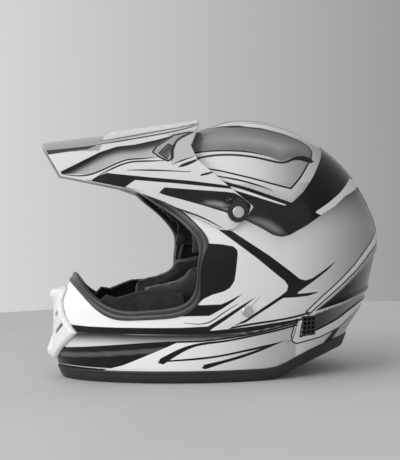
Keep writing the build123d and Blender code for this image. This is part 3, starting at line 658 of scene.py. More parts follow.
def build_shell():
    cols, rows = ((476, 206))
    u = np.linspace(0, 2 * math.pi, cols, endpoint=False)
    phi = u + 0.16 * np.sin(2 * u)             # closer columns on the two sides
    low = at_height(-3.0)
    t = np.linspace(low, ALONG[-1] * 0.9995, rows)
    p = form_surface(t[:, None], phi[None, :]).reshape(-1, 3)
    side = p[:, [0, 2]]
    keep = ((distance(side, eyeport_outline(EYE_EDGE)) > 2.5)
            & (p[:, 2] - base_height(p[:, 0]) > 3.0)
            & (distance(side, GRILLE) > 0) & (mouth_opening(p, 0) > 0))
    # sculpted relief: the tail recess behind the rear stripe, and the low spine
    normal = form_normal(p)
    recess = 1 - glide(np.minimum(distance(side, TAIL_DARK), distance(side, TAIL_GREY)), -3.5, 0.0)
    spine = glide(38 - np.abs(p[:, 1]), 0, 3) * glide(p[:, 2], 130, 150) * glide(p[:, 0], -80, -40)
    flat = p
    p = p + normal * (-2.0 * recess + 0.9 * spine - 0.3)[:, None]
    quads = ring_quads(rows, cols)
    used, quads = renumbered(quads[keep[quads].any(axis=1)], len(p))
    # a plain inner face, a wall's thickness inside
    inner_rows, inner_cols, wall = 60, 120, 2.9
    t = np.linspace(low, ALONG[-1] * 0.999, inner_rows)
    phi = np.linspace(0, 2 * math.pi, inner_cols, endpoint=False)
    q = form_surface(t[:, None], phi[None, :]).reshape(-1, 3)
    side = q[:, [0, 2]]
    keep = ((distance(side, eyeport_outline(EYE_EDGE)) > 3)
            & (q[:, 2] > base_height(q[:, 0]) + 3)
            & (distance(side, GRILLE) > 0) & (mouth_opening(q, 1) > 0))
    q = q - form_normal(q) * wall
    inner = ring_quads(inner_rows, inner_cols)[:, [0, 3, 2, 1]]
    kept, inner = renumbered(inner[keep[inner].all(axis=1)], len(q))
    obj = mesh_object("shell_visual", np.vstack([p[used], q[kept]]),
                      quads.tolist() + (inner + len(used)).tolist(),
                      "helmet", "outer_shell", "shell_white")
    shell_paint(obj, np.vstack([flat[used], q[kept]]))
    assign(obj, PAINT)


build_shell()

# ======================================================================================
# Rubber edging: sections swept round the eyeport and round the base
def port_line(points, count):
    """One side of an eyeport outline on the shell, from the brow's middle to the chin's."""
    flat = smooth_outline(points, 3000)
    front = form_at(at_height(flat[:, 1]))[1]
    flat = flat[flat[:, 0] > front + 0.005]
    p = form_side(flat[:, 0], flat[:, 1])
    p[0, 1] = p[-1, 1] = 0.0
    t = lengths(p)
    u = np.linspace(0, t[-1], count)
    return np.stack([np.interp(u, t, p[:, i]) for i in range(3)], -1)


def swept_loop(name, rings, node, material, slot):
    """A closed band from section points, each a closed loop of positions."""
    rings = np.asarray(rings)
    count, around = len(rings), len(rings[0])
    assign(mesh_object(name, rings.reshape(-1, 3), grid_faces(count, around, True, True),
                       "helmet", node, slot), material)


def build_port_trim():
    """Sections run from the outer edge (0) to the opening (1), at heights off the shell."""
    count = 260
    outer, edge = port_line(EYE_RIM, count), port_line(EYE_EDGE, count)
    profile = [(0.0, -0.6), (-0.02, 0.3), (0.03, 1.0), (0.12, 1.35), (0.3, 1.3), (0.42, 1.0),
               (0.48, 0.55), (0.54, 0.6), (0.6, 1.1), (0.7, 1.6), (0.82, 1.85), (0.93, 1.7),
               (1.02, 1.1), (1.07, 0.2), (1.08, -1.5), (1.06, -3.4), (1.0, -4.6), (0.9, -5.0),
               (0.5, -5.0), (0.1, -4.9), (0.04, -4.4), (0.03, -2.5)]
    rings = []
    for f, h in profile:
        p = outer + (edge - outer) * f
        q = p + form_normal(p) * h
        q[0, 1] = q[-1, 1] = 0.0
        mirrored = (q * [1, -1, 1])[1:-1][::-1]
        rings.append(np.vstack([q, mirrored]))
    swept_loop("eyeport_edging", rings, "eyeport_trim", LIP_RUBBER, "trim_rubber")


def build_base_trim():
    """Sections are heights above the base and heights off the shell."""
    count = 420
    phi = np.linspace(0, 2 * math.pi, count, endpoint=False)
    profile = [(12.6, -0.6), (12.9, 0.2), (12.3, 0.9), (11.2, 1.3), (9.5, 1.35), (8.9, 1.1),
               (8.3, 1.35), (5.0, 1.4), (2.0, 1.35), (0.7, 1.0), (0.1, 0.2), (0.0, -1.5),
               (0.1, -3.8), (0.8, -4.8), (2.0, -5.0), (10.5, -5.0), (11.9, -4.7), (12.3, -3.8)]
    rings = []
    for up, h in profile:
        t = np.full(count, at_height(10.0))
        for _ in range(12):
            p = form_surface(t, phi)
            t = at_height(base_height(p[:, 0]) + up)
        p = form_surface(t, phi)
        q = p + unit(form_normal(p) * [1, 1, 0]) * h
        q[:, 2] = np.maximum(base_height(p[:, 0]) + up, 0.02)
        rings.append(q)
    swept_loop("base_edging", rings[::-1], "base_trim", RUBBER, "trim_rubber")


build_port_trim()
build_base_trim()

# ======================================================================================
# Peak: an arched sheet cut to its outline, with wells, vents, louvres and relief
# its arches: X, half width, height of foot and of top, roundness
PEAK_STATIONS = np.array([
    (-192, 79, 196, 246, 2.7), (-150, 89, 188, 250.5, 2.7), (-110, 99, 178, 254.5, 2.6),
    (-75, 107.5, 168, 258.5, 2.4), (-45, 115.5, 158, 262, 2.2), (-15, 124.5, 150, 266, 1.97),
    (12, 130, 146, 270, 1.9), (42, 132, 144, 272, 1.9)])
PEAK_AT = [spline(PEAK_STATIONS[:, 0], PEAK_STATIONS[:, i]) for i in range(1, 5)]
PEAK_SIDE = [(-192, 275), (-180, 247), (-161, 211), (-128, 204), (-95, 196.5), (-63, 184),
             (-30, 166.5), (-6, 154), (2, 154), (15, 162.5), (26, 177), (1, 200), (-25, 226),
             (-29, 240), (-12, 268), (-8, 285)]
PIVOT = (9.3, 172)                             # axis of the peak's side screws
PEAK_STRIP = [(-178.5, 238.2), (-175, 233.6), (-155.3, 236.1), (-133.1, 238.3), (-121, 243.4),
              (-134.8, 241.6)]
PEAK_RECESS = [(-162.1, 216), (-146, 223.5), (-121.5, 235.1), (-103.9, 240.4), (-85.7, 242),
               (-61.6, 246.8), (-44.9, 251), (-54.9, 245), (-62.9, 239.3), (-69.7, 233.9),
               (-67.2, 229.5), (-91.2, 228.1), (-102.3, 226.4), (-122.6, 216.9),
               (-134.6, 212.7), (-160.2, 213.9)]
RECESS_TOP = [(x, z, 1) for x, z in PEAK_RECESS[:7]]
PEAK_FRAME = [(-69.2, 233.7), (-64.4, 239.3), (-54.9, 245), (-44.9, 251), (-33.5, 253.3),
              (-24, 254.1), (-36.7, 248.9), (-44, 243.6), (-48.4, 235.3), (-49.5, 227.1),
              (-54.8, 224.1), (-62.4, 227.9)]
PEAK_HOLE = [(-63.8, 232.5), (-55.8, 239.6), (-52, 242.4), (-47.5, 240), (-51, 234.3),
             (-55.2, 225.2)]
PEAK_BAR = [(-44, 218.3, 0.5), (-41, 219.3, 1.5), (-34, 221.6, 1.6), (-27, 224.2, 1.1)]
PEAK_DASH = [(-22.6, 209.5, 0.9), (-17.5, 210.4, 1.1), (-12, 211.7, 0.8)]
PEAK_BLACK = [(-134.9, 204.9), (-125.4, 211), (-115.9, 213.9), (-111, 213.1), (-73.9, 208.3),
              (-34.9, 203.9), (-3.9, 199.1), (14, 195.4), (14, 192.4), (5.5, 194.6),
              (-11, 196.8), (-44.9, 201.2), (-88.8, 206), (-99.9, 198.5), (-104, 193),
              (-138, 200)]
PEAK_BLACK_LOW = [(-67, 192.2), (-60.2, 198), (-25.8, 194.4), (-1.6, 192.1), (8, 190.6),
                  (15.5, 185.5), (23, 178.5), (20, 170), (11.3, 164), (-2.2, 171.8),
                  (-26.8, 180.2), (-45.8, 186.1)]
PEAK_GLOW = [(-25, 180), (-20.7, 184), (-13, 184.3), (-5.3, 183.1), (3, 178), (0, 172),
             (-11.5, 177.4)]
PEAK_LINES = [
    [widths(0.8, (-122.7, 243.1), (-100.1, 246.2), (-79.3, 249.4), (-58.2, 252.8),
            (-25.1, 259.8), (-13, 263.5)),
     widths(0.8, (-160.2, 213.6), (-134.7, 212.2), (-122.7, 215.9), (-109.6, 221.5),
            (-96.4, 226.2), (-82.4, 227.3), (-64.3, 228.7)),
     widths(0.8, (-50.1, 221), (-40.8, 224.3), (-29, 227.8)),
     widths(0.8, (-95.1, 216.1), (-73.4, 215.4), (-34.1, 212.7))],
    [PEAK_BAR, PEAK_DASH,
     widths(0.6, (-120.1, 246.9), (-94.2, 250.6), (-57, 256.4), (-23.8, 262.3), (-14.2, 265)),
     widths(0.8, (-122.8, 212.4), (-110.8, 217.8), (-92.6, 223.9), (-74.6, 224.6),
            (-57.7, 224.8)),
     widths(1.1, (-50.8, 224), (-50.2, 233.2), (-46.6, 240.5), (-40.3, 246.8),
            (-33.3, 250.4), (-25.2, 253.6)),
     widths(0.8, (-65.4, 182.9), (-51.1, 177.6), (-36.8, 172.3), (-22.7, 166.1), (-6.8, 156.8))],
]
PEAK_THICK = 2.6                               # wall of the sheet
PEAK_TRIM = -1.0                               # the sheet stops this far inside its outline
SEAT_OUTSIDE, SEAT_INSIDE = 127.6, 123.0       # Y of the flat seats round the pivots


def peak_point(x, a, inset=0.0):
    """Point of the peak's arch at x, at angle a round it, inset from its outside."""
    half, foot, top, power = [f(x) for f in PEAK_AT]
    c, sn = np.cos(a), np.sin(a)
    r = ((np.abs(c) / (half - inset)) ** power
         + (np.abs(sn) / (top - inset - foot)) ** power) ** (-1 / power)
    return np.stack([x, r * c, foot + r * sn], -1)


def peak_relief(p):
    """Height to add to the sheet's outside: the raised tier, its flutes, the side recess."""
    side, across = p[:, [0, 2]], np.abs(p[:, 1])
    tier = glide(24.5 - across, 0, 1.6) * glide(p[:, 0] - 0.5 * (p[:, 2] - 240), -119, -111)
    recess = 1 - glide(distance(side, PEAK_RECESS), -2.2, 0.0)
    flute = 1 - glide(np.abs(across - 12), 0.5, 2.0)
    return 3.0 * tier - 1.0 * recess * (across > 30) - 0.7 * flute * tier


def peak_sheet():
    """Grids of the sheet's outside and inside, one row of points for each angle."""
    rows, cols = ((232, 138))
    xs = np.linspace(-192, 42, 900)
    low = 0.03                                 # the first angle that the outline reaches
    while (distance(peak_point(xs, np.full(900, low))[:, [0, 2]], PEAK_SIDE)
           < PEAK_TRIM).sum() <= 8:
        low += 0.002
    angles = np.linspace(low, math.pi - low, rows)
    outer, inner = [], []
    for a in angles:
        d = distance(peak_point(xs, np.full(900, a))[:, [0, 2]], PEAK_SIDE)
        inside = np.nonzero(d < PEAK_TRIM)[0]
        i, j = inside[0], inside[-1]
        start = xs[i - 1] + (xs[i] - xs[i - 1]) * (d[i - 1] - PEAK_TRIM) / (d[i - 1] - d[i])
        end = xs[j] + (xs[j + 1] - xs[j]) * (PEAK_TRIM - d[j]) / (d[j + 1] - d[j])
        x = start + (end - start) * np.linspace(0, 1, cols)
        outer.append(peak_point(x, np.full(cols, a)))
        inner.append(peak_point(x, np.full(cols, a), PEAK_THICK))
    return np.array(outer), np.array(inner)


def build_peak():
    outer, inner = peak_sheet()
    rows, cols = outer.shape[:2]
    o, i = outer.reshape(-1, 3), inner.reshape(-1, 3)
    angle = np.arctan2(o[:, 2] - PEAK_AT[1](o[:, 0]), o[:, 1])
    normal = unit(o - peak_point(o[:, 0], angle, 1.0))
    o = o + normal * peak_relief(o)[:, None]
    for p, level, reach in ((o, SEAT_OUTSIDE, 11.8), (i, SEAT_INSIDE, 11.4)):
        d = np.hypot(p[:, 0] - PIVOT[0], p[:, 2] - PIVOT[1])
        flat = 1 - glide(d, reach, reach + 1.2)
        sign = np.sign(p[:, 1])
        p[:, 1] = sign * (np.abs(p[:, 1]) * (1 - flat) + level * flat)
        near = (d < 14) & (level == SEAT_OUTSIDE)              # the washer stays clear
        p[:, 1] = np.where(near, sign * np.minimum(np.abs(p[:, 1]), level), p[:, 1])
    o, i = o.reshape(rows, cols, 3), i.reshape(rows, cols, 3)
    grid = np.arange(rows * cols).reshape(rows, cols)
    faces = np.stack([grid[:-1, :-1], grid[1:, :-1], grid[1:, 1:], grid[:-1, 1:]],
                     -1).reshape(-1, 4)
    back = faces[:, ::-1] + rows * cols
    # a half-round rim along the border, pushed away from the sheet
    loop = np.concatenate([grid[0], grid[1:, -1], grid[-1, :-1][::-1], grid[1:-1, 0][::-1]])
    away = np.zeros((rows, cols, 3))
    step = unit(np.gradient(o, axis=0))
    away[0] -= step[0]
    away[-1] += step[-1]
    step = unit(np.gradient(o, axis=1))
    away[:, 0] -= step[:, 0]
    away[:, -1] += step[:, -1]
    away = unit(away.reshape(-1, 3)[loop])
    po, pi = o.reshape(-1, 3)[loop], i.reshape(-1, 3)[loop]
    mid, arm = (po + pi) / 2, (po - pi) / 2
    arcs = 6                                   # steps round the rim's half circle
    turns = [math.pi * k / arcs for k in range(1, arcs)]
    rims = [mid + math.cos(a) * arm + math.sin(a) * away for a in turns]
    ends = [2 * rows * cols + k * len(loop) + np.arange(len(loop)) for k in range(len(turns))]
    rim_faces, last = [], loop
    for ring in (*ends, loop + rows * cols):
        rim_faces += list(zip(last, ring, np.roll(ring, -1), np.roll(last, -1)))
        last = ring
    verts = np.vstack([o.reshape(-1, 3), i.reshape(-1, 3), *rims])
    faces = [tuple(int(v) for v in f) for f in (*faces, *back, *rim_faces)]
    obj = mesh_object("peak_visual", verts, faces, "peak", "peak", "peak_white")
    cutter = peak_cutter()
    cut_away(obj, cutter)
    add_tray(obj.data, cutter)
    bpy.data.objects.remove(cutter)
    obj.data.shade_smooth()
    obj.modifiers.new("weighted", "WEIGHTED_NORMAL").keep_sharp = True
    obj.data.set_sharp_from_angle(angle=math.radians(50))
    assign(obj, PAINT)
    peak_paint(obj)


def add_tray(mesh, cutter):
    """The tray under the sheet that the middle screw stands in, cut by the same prisms."""
    floor_radius, into_sheet = 93.2, 1.4
    turns = np.radians(np.linspace(103.7, 129.5, 15))
    ys = np.linspace(-11.4, 11.4, 7)
    bottom = np.array([[(PIVOT[0] + floor_radius * math.cos(a), y,
                         PIVOT[1] + floor_radius * math.sin(a)) for y in ys] for a in turns])
    top = bottom.copy()
    for i, a in enumerate(turns):
        radius = np.full(len(ys), 108.0)       # a first guess, which settles on the sheet
        for _ in range(8):
            half, foot, crown, power = [f(PIVOT[0] + radius * math.cos(a)) for f in PEAK_AT]
            height = ((crown - into_sheet - foot)
                      * (1 - (np.abs(ys) / (half - into_sheet)) ** power) ** (1 / power))
            radius = (foot + height - PIVOT[1]) / math.sin(a)
        top[i, :, 0] = PIVOT[0] + radius * math.cos(a)
        top[i, :, 2] = PIVOT[1] + radius * math.sin(a)
    bm = bmesh.new()
    low, high = [[[bm.verts.new(Vector(p) * MM) for p in row] for row in side]
                 for side in (bottom, top)]
    for side in (low, high):
        for i in range(len(turns) - 1):
            for j in range(len(ys) - 1):
                bm.faces.new((side[i][j], side[i + 1][j], side[i + 1][j + 1], side[i][j + 1]))
    for a, b in [([r[0] for r in low], [r[0] for r in high]),
                 ([r[-1] for r in low], [r[-1] for r in high]),
                 (low[0], high[0]), (low[-1], high[-1])]:
        for k in range(len(a) - 1):
            bm.faces.new((a[k], a[k + 1], b[k + 1], b[k]))
    bmesh.ops.recalc_face_normals(bm, faces=bm.faces)
    block = bpy.data.meshes.new("tray")
    bm.to_mesh(block)
    bm.free()
    holder = linked("tray", block)
    cut_away(holder, cutter)
    bm = bmesh.new()
    bm.from_mesh(mesh)
    bm.from_mesh(holder.data)
    bm.to_mesh(mesh)
    bm.free()
    bpy.data.objects.remove(holder)


def peak_cutter():
    """Prisms for the side vents, the pivots, the louvres, and the well of the middle screw."""
    bm = bmesh.new()

    def prism(lo, hi):
        """A closed prism from an outline and its far copy."""
        a = [bm.verts.new(Vector(p) * MM) for p in lo]
        b = [bm.verts.new(Vector(p) * MM) for p in hi]
        bm.faces.new(a[::-1])
        bm.faces.new(b)
        for k in range(len(a)):
            m = (k + 1) % len(a)
            bm.faces.new((a[k], a[m], b[m], b[k]))

    def across(outline, y0, y1):
        prism([(x, y0, z) for x, z in outline], [(x, y1, z) for x, z in outline])

    def sector(radii, degrees):
        """A piece of a ring about the pivot, in the side view."""
        steps = np.radians(np.linspace(*degrees, 8))
        return [(PIVOT[0] + radius * math.cos(a), PIVOT[1] + radius * math.sin(a))
                for radius, turns in zip(radii, (steps, steps[::-1])) for a in turns]

    for sgn in (-1, 1):
        hole = [(-62, 232.5), (-53.5, 240.3), (-49.3, 239.5), (-55, 227)]
        across(hole, sgn * 40, sgn * 130)
        bore = [(PIVOT[0] + 2.82 * math.cos(a), PIVOT[1] + 2.82 * math.sin(a))
                for a in np.linspace(0, 2 * math.pi, 24, endpoint=False)]
        across(bore, sgn * 110, sgn * 140)
        for x in (-145, -137, -129):
            y0, y1 = sgn * 17 - 10, sgn * 17 + 10
            slot = []
            for cx, cy, start in ((x + 0.8, y1 - 1.4, 0), (x - 0.8, y1 - 1.4, 90),
                                  (x - 0.8, y0 + 1.4, 180), (x + 0.8, y0 + 1.4, 270)):
                for k in range(4):
                    a = math.radians(start + 30 * k)
                    slot.append((cx + 1.4 * math.cos(a), cy + 1.4 * math.sin(a)))
            prism([(a, b, 240) for a, b in slot], [(a, b, 262) for a, b in slot])
    across(sector((95.7, 135), (105.2, 128)), -9, 9)
    across(sector((84, 110), (110.1, 124)), -2.9, 2.9)
    bmesh.ops.recalc_face_normals(bm, faces=bm.faces)
    mesh = bpy.data.meshes.new("peak_cutter")
    bm.to_mesh(mesh)
    bm.free()
    return linked("peak_cutter", mesh)


def peak_paint(obj):
    p = positions(obj) / MM
    side, across, x, z = p[:, [0, 2]], np.abs(p[:, 1]), p[:, 0], p[:, 2]
    half, foot, top, power = [f(x) for f in PEAK_AT]
    surface = (across / half) ** power + (np.maximum(z - foot, 0) / (top - foot)) ** power
    seat = np.hypot(x - PIVOT[0], z - PIVOT[1]) < 14.5
    seat &= across > (SEAT_OUTSIDE + SEAT_INSIDE) / 2 - 0.1
    under = (surface < (1 - 1.4 / half) ** power) & ~seat
    recess, frame_d, strip, black_low, glow = [
        distance(side, o) for o in (PEAK_RECESS, PEAK_FRAME, PEAK_STRIP, PEAK_BLACK_LOW, PEAK_GLOW)]
    _, from_top, _ = line_fields(side, [RECESS_TOP])
    black = np.minimum.reduce([strip, distance(side, PEAK_HOLE), distance(side, PEAK_BLACK),
                               black_low])
    tone = 0.68 * (0.93 + 0.07 * glide(z, 175, 215))
    plateau = (z > 236.5) & (x < -119 + 0.45 * (z - 243)) & (strip > 0)
    tone = np.where(plateau, 0.33, tone)
    between = ((z > 243.1 + (x + 122.7) * 0.187) & (z < 246.9 + (x + 120.1) * 0.171)
               & (x > -122) & (across > 25))
    tone = np.where(between, 0.36, tone)
    tone = np.where(frame_d < 0, 0.34, tone)
    behind = ((x > -50) & (z > 222 + (x + 50) * 0.27) & (frame_d > 0)
              & (z < 262 + 0.2 * x) & (across > 25))
    tone = np.where(behind, 0.5, tone)
    tone = np.where(under, 0.6, tone)
    # painted highlight: the low black turns grey inside PEAK_GLOW
    gloom = 0.75 * (1 - glide(glow, -5, 1.5)) * (black_low < 0)
    hollow = np.where(across > 30, recess, FAR)
    black = np.where(under, FAR, np.minimum(black, hollow))
    gloom = np.maximum(gloom, glide(from_top, 3.5, 11) * (hollow < 3))
    set_paint(obj, side, tone, PEAK_LINES, black=black, gloom=gloom,
              rim=np.where(under | (across < 30), FAR, frame_d), bare=under)


build_peak()

# ======================================================================================
# Mouth vent cover: a keeled moulding proud of the chin bar, with two air slots each side
# half widths by height, and X of the keel by height
COVER_WIDTH = np.array([(20.5, 10), (50, 44), (57, 37), (67, 27), (82, 17), (94, 15),
                        (97, 1)], float)
KEEL = np.array([(20.5, -168), (24, -178.3), (29.5, -179.8), (38, -176.6), (46, -173.5),
                 (62, -171.2), (79, -171.4), (83, -173.2), (86, -175.4), (90, -175.2),
                 (93, -172.5), (95.5, -164), (97, -158)], float)
COVER_SLOTS = ((21, 53, 20), (15.5, 68, 11))   # Y, Z and length


def form_front(y, z):
    """X of the front of the shell."""
    _, front, _, half, widest, nf, _ = form_at(at_height(z))
    inside = np.clip(1 - (np.abs(y) / half) ** nf, 0, 1)
    return widest - (widest - front) * inside ** (1 / nf)


def build_cover():
    rows, cols = ((120, 161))
    outline = [(w, z) for z, w in COVER_WIDTH] + [(-w, z) for z, w in COVER_WIDTH[::-1]]
    z = np.linspace(20.6, 96.9, rows)[:, None] + np.zeros(cols)
    y = np.interp(z, COVER_WIDTH[:, 0], COVER_WIDTH[:, 1]) * np.linspace(-1, 1, cols)
    p = np.stack([0 * y, y, z], -1).reshape(-1, 3)
    flat = p[:, [1, 2]]
    d = -distance(flat, outline)
    proud = 5.3 * np.sqrt(np.clip(1 - (1 - np.clip(d / 2.2, 0, 1)) ** 2, 0, 1))
    x = form_front(p[:, 1], p[:, 2]) - 0.3 - proud
    keel = np.interp(p[:, 2], KEEL[:, 0], KEEL[:, 1])
    soft = np.clip(np.abs(p[:, 1]) - 3.5, 0, None)
    keel = keel + soft ** 1.35 * 0.9 + 8 * (1 - glide(d, 0, 2.0))
    blend = glide(x - keel, -1.2, 1.2)
    x = x * (1 - blend) + keel * blend
    slots = []
    for sgn in (-1, 1):
        lean = math.radians(sgn * 38)
        c, sn = math.cos(lean), math.sin(lean)
        for y, z, long in COVER_SLOTS:
            box = [(long / 2, 1.9), (-long / 2, 1.9), (-long / 2, -1.9), (long / 2, -1.9)]
            slots.append([(sgn * y + u * c - v * sn, z + u * sn + v * c) for u, v in box])
    slot = np.minimum.reduce([distance(flat, o) for o in slots])
    p[:, 0] = x + 3.6 * (1 - glide(slot, -0.9, 0.3))
    obj = mesh_object("vent_cover_visual", p, grid_faces(rows, cols), "helmet",
                      "mouth_vent_cover", "cover_white")
    solid = obj.modifiers.new("wall", "SOLIDIFY")
    solid.thickness, solid.offset = 1.2 * MM, 1
    attribute(obj, "slot", slot)
    n = Nodes("moulded_cover", Coat_Weight=0.25, Coat_Roughness=0.08)
    dirt = n.ramp(n.noise(40, 6, 0.65), 0.45, 0.8, 0.0, 0.1)
    colour = n.mix(dirt, (0.78, 0.78, 0.77), (0.45, 0.45, 0.44))
    # painted shade: the slots' recessed floors are near-black, standing in for the dark seen
    # through open air slots
    colour = n.mix(n.ramp(n.attr("slot"), -0.6, 0.1, 1, 0), colour, (0.008, 0.008, 0.008))
    assign(obj, n.shade(Base_Color=colour, Roughness=n.ramp(n.noise(30, 4), 0.3, 0.7, 0.2, 0.34),
                        Normal=n.bump(n.noise(500, 2), 0.06, 0.0003)))


build_cover()


# ======================================================================================
# Padding: each pad starts as the CAD's solid, a little smaller, and is blown up as cloth
SWELL_CAP = 5.0                                # how far a point may move, mm
SWELL_FRAMES = 20


def swell(name, node, body):
    room = positions(NODES[node])
    mesh = NODES[node].data.copy()
    mesh.name = name
    mesh.materials.clear()
    obj = linked(name, mesh)
    remesh = obj.modifiers.new("remesh", "REMESH")
    remesh.mode, remesh.voxel_size = "VOXEL", 4.6 * MM
    shrink = obj.modifiers.new("shrink", "DISPLACE")
    shrink.strength, shrink.mid_level = -1.6 * MM, 0.0
    settle(obj)
    now = positions(obj)
    cloth = obj.modifiers.new("cloth", "CLOTH")
    cloth.settings.use_pressure = True
    cloth.settings.uniform_pressure_force = 4.0
    cloth.settings.effector_weights.gravity = 0.0
    cloth.settings.quality = 4
    cloth.settings.mass = 0.25
    cloth.collision_settings.use_collision = False
    cloth.point_cache.frame_start, cloth.point_cache.frame_end = 1, SWELL_FRAMES
    for f in range(1, SWELL_FRAMES + 1):
        bpy.context.scene.frame_set(f)
    settle(obj)
    bpy.context.scene.frame_set(1)
    move = positions(obj) - now
    length = np.linalg.norm(move, axis=1, keepdims=True)
    now = now + move * np.minimum(1, SWELL_CAP * MM / np.maximum(length, 1e-9))
    # stay inside the room the CAD's solid takes
    now = np.clip(now, room.min(0) - 0.4 * MM, room.max(0) + 0.4 * MM)
    obj.data.vertices.foreach_set("co", now.ravel())
    sub = obj.modifiers.new("subdivide", "SUBSURF")
    sub.levels = sub.render_levels = 1
    settle(obj)
    obj.data.shade_smooth()
    assign(obj, FABRIC)
    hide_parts(node)
    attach(obj, body)


for pad, fill in (("crown_liner", 0.6), ("neck_roll", 0.7), ("cheek_pad_left", 0.75),
                  ("cheek_pad_right", 0.75)):
    swell(pad + "_cushion", pad, "helmet")


# ======================================================================================
# Chin strap: webbing modelled along the CAD's path, with raised selvedges
STRAP_X, STRAP_WIDE, STRAP_THICK, SEWN_THICK = 18, 25 * 0.985, 2.0, 1.2
STRAP_DROP = [(110.2, 86), (109.6, 73), (106.5, 55), (102, 36), (93, 18), (80, 8.6), (62, 5.8)]
STRAP_BEND = 9                                 # radius of its bends


def rounded_path(points, radius, step=1.2):
    """An open line with its corners rounded, in even steps."""
    pts = np.asarray(points, float)
    out = [pts[0]]
    for a, b, c in zip(pts, pts[1:], pts[2:]):
        u, v = (a - b) / np.linalg.norm(a - b), (c - b) / np.linalg.norm(c - b)
        angle = math.acos(np.clip(u @ v, -1, 1))
        reach = radius / math.tan(angle / 2)
        centre = b + (u + v) / np.linalg.norm(u + v) * radius / math.sin(angle / 2)
        p, q = b + u * reach - centre, b + v * reach - centre
        for f in np.linspace(0, 1, 7):
            w = p * (1 - f) + q * f
            out.append(centre + w / np.linalg.norm(w) * radius)
    out.append(pts[-1])
    out = np.array(out)
    t = lengths(out)
    s = np.linspace(0, t[-1], int(t[-1] / step) + 2)
    return np.stack([np.interp(s, t, out[:, i]) for i in range(2)], -1)


def band(path, side, thickness=STRAP_THICK, across=26):
    """Webbing along a path seen from the front: a closed ribbed tube, flat in section."""
    path = np.asarray(path) * [side, 1]
    step = np.gradient(path, axis=0)
    step = unit(step)
    normal = np.stack([-step[:, 1], step[:, 0]], -1)
    u = np.linspace(-1, 1, across)
    half = thickness / 2
    thick = half * np.where(np.abs(u) > 0.86, 0.94, 0.8 + 0.1 * np.cos(u * 40))
    thick[[0, -1]] = half * 0.35
    rings = []
    for (y, z), n in zip(path, normal):
        top = [(STRAP_X + v * STRAP_WIDE / 2, y + n[0] * h, z + n[1] * h)
               for v, h in zip(u, thick)]
        low = [(STRAP_X + v * STRAP_WIDE / 2, y - n[0] * h, z - n[1] * h)
               for v, h in zip(u[::-1], thick[::-1])]
        rings.append(top + low)
    verts = np.array(rings).reshape(-1, 3)
    around = 2 * across
    faces = grid_faces(len(rings), around, False, True)
    faces += [tuple(range(around))[::-1], tuple((len(rings) - 1) * around + np.arange(around))]
    return verts, [tuple(int(i) for i in f) for f in faces]


def merge(parts):
    """Several sets of points and faces as one."""
    verts, faces, start = [], [], 0
    for v, f in parts:
        verts.append(v)
        faces += [tuple(i + start for i in face) for face in f]
        start += len(v)
    return np.vstack(verts), faces


def webbing():
    n = Nodes("strap_weave", Sheen_Weight=0.25, Sheen_Roughness=0.5)
    weave = n.math("MULTIPLY", n.wave("X", 190.0), n.wave("DIAGONAL", 260.0))
    return n.shade(Base_Color=n.mix(weave, (0.008, 0.008, 0.009), (0.03, 0.03, 0.032)),
                   Roughness=n.ramp(n.noise(60), 0.3, 0.7, 0.7, 0.9),
                   Normal=n.bump(weave, 0.7, 0.0006))


WEBBING = webbing()
left = band(rounded_path(STRAP_DROP + [(34, 4.5), (-20, 4.2)], STRAP_BEND), -1)
assign(mesh_object("strap_left_web", *left, "helmet", "chin_strap_left", "webbing"), WEBBING)
# the loop sewn round the flat sides of the two rings
loop = [(47 + 2.35 * math.cos(a), 7.35 + 4.3 * math.sin(a))
        for a in np.linspace(0.25, 2 * math.pi - 0.25, 30)]
sewn = band([(60, 8.6), (53, 8.9)] + loop + [(53, 5.8), (60, 6.2)], 1, SEWN_THICK)
right = band(rounded_path(STRAP_DROP + [(56, 6.6)], STRAP_BEND), 1)
assign(mesh_object("strap_right_web", *merge([right, sewn]), "helmet", "chin_strap_right",
                   "webbing"), WEBBING)

# ======================================================================================
# Hard pieces that keep the CAD's shape
for name, material in {
    "impact_liner_front": FOAM, "impact_liner_rear": FOAM, "chin_bar_foam": FOAM,
    "mouth_vent_mesh": BLACK_PLASTIC,
    "rear_grille_left": BLACK_PLASTIC, "rear_grille_right": BLACK_PLASTIC,
    "peak_washer_left": RUBBER, "peak_washer_right": RUBBER,
    "peak_screw_left": ALLOY, "peak_screw_right": ALLOY, "centre_screw": ALLOY,
    "pivot_nut_left": STEEL, "pivot_nut_right": STEEL, "centre_nut": STEEL,
    "strap_rivet_left": CHROME, "strap_rivet_right": CHROME,
    "d_ring_low": CHROME, "d_ring_high": CHROME, "snap_stud": CHROME,
}.items():
    if name in NODES:
        assign(NODES[name], material)

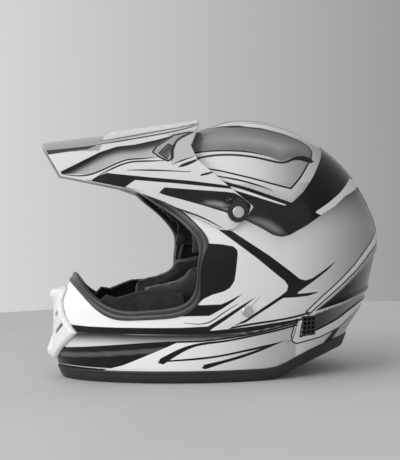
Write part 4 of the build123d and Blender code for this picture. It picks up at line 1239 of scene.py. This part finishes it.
# ======================================================================================
# Floor, lights and camera
def floor():
    """A round table top, its far edge just past the helmet's shadow."""
    rings = [(0.0, 0.0), (250, 0.0), (500, 0.0), (790, 0.0), (796, -1.5), (800, -6), (800, -40)]
    count, verts = 96, []
    for r, z in rings[1:]:
        verts += [(r * math.cos(a), r * math.sin(a), z)
                  for a in np.linspace(0, 2 * math.pi, count, endpoint=False)]
    faces = [tuple(range(count))] + grid_faces(len(rings) - 1, count, False, True)
    mesh = bpy.data.meshes.new("table_top")
    mesh.from_pydata((np.array(verts) * MM).tolist(), [],
                     [f[::-1] if k else f for k, f in enumerate(faces)])
    obj = linked("table_top", mesh)
    n = Nodes("pale_board")
    colour = n.mix(n.ramp(n.noise(3, 3), 0.3, 0.7), (0.56, 0.56, 0.56), (0.60, 0.60, 0.60))
    assign(obj, n.shade(Base_Color=colour, Roughness=0.7,
                        Normal=n.bump(n.noise(300), 0.05, 0.0005)))


def light(name, place, target, size, power):
    lamp = bpy.data.lights.new(name, "AREA")
    lamp.shape, lamp.size, lamp.size_y, lamp.energy = "RECTANGLE", size[0], size[1], power
    obj = linked(name, lamp)
    obj.location = place
    obj.rotation_euler = (Vector(target) - Vector(place)).to_track_quat("-Z", "Y").to_euler()


def camera():
    azimuth, elevation, roll = (math.radians(a) for a in (-7, 2, 1.5))
    away, per_pixel, height = 1.4, 0.001075, 460       # metres, metres at the target, pixels
    target = Vector((-0.013, 0, 0.151))
    back = Vector((math.sin(azimuth) * math.cos(elevation),
                   -math.cos(azimuth) * math.cos(elevation), math.sin(elevation)))
    data = bpy.data.cameras.new("camera")
    data.lens, data.sensor_width = 36 * (away / per_pixel) / height, 36
    obj = linked("camera", data)
    obj.location = target + back * away
    level = (-back).to_track_quat("-Z", "Y")
    obj.rotation_mode = "QUATERNION"
    obj.rotation_quaternion = level @ Quaternion((0, 0, 1), -roll)
    bpy.context.scene.camera = obj


floor()
light("key", (-2.0, -1.3, 1.1), (0, 0, 0.12), (2.0, 1.8), 34)
light("fill", (0.9, -2.2, 0.9), (0, 0, 0.12), (2.2, 1.8), 6)
light("top", (0.0, 0.2, 2.2), (0, 0, 0.1), (2.2, 1.8), 5)
camera()
world = bpy.data.worlds.new("studio")
world.use_nodes = True
sky = world.node_tree
bearing, parts = sky.nodes.new("ShaderNodeTexCoord"), sky.nodes.new("ShaderNodeSeparateXYZ")
shade = sky.nodes.new("ShaderNodeMapRange")
for socket, value in zip((1, 2, 3, 4), (-0.1, 0.3, 0.74, 0.31)):      # lighter towards the key
    shade.inputs[socket].default_value = value
sky.links.new(bearing.outputs["Generated"], parts.inputs[0])
sky.links.new(parts.outputs[0], shade.inputs[0])
sky.links.new(shade.outputs[0], sky.nodes["Background"].inputs[0])
bpy.context.scene.world = world
bpy.context.scene.view_settings.view_transform = "Standard"
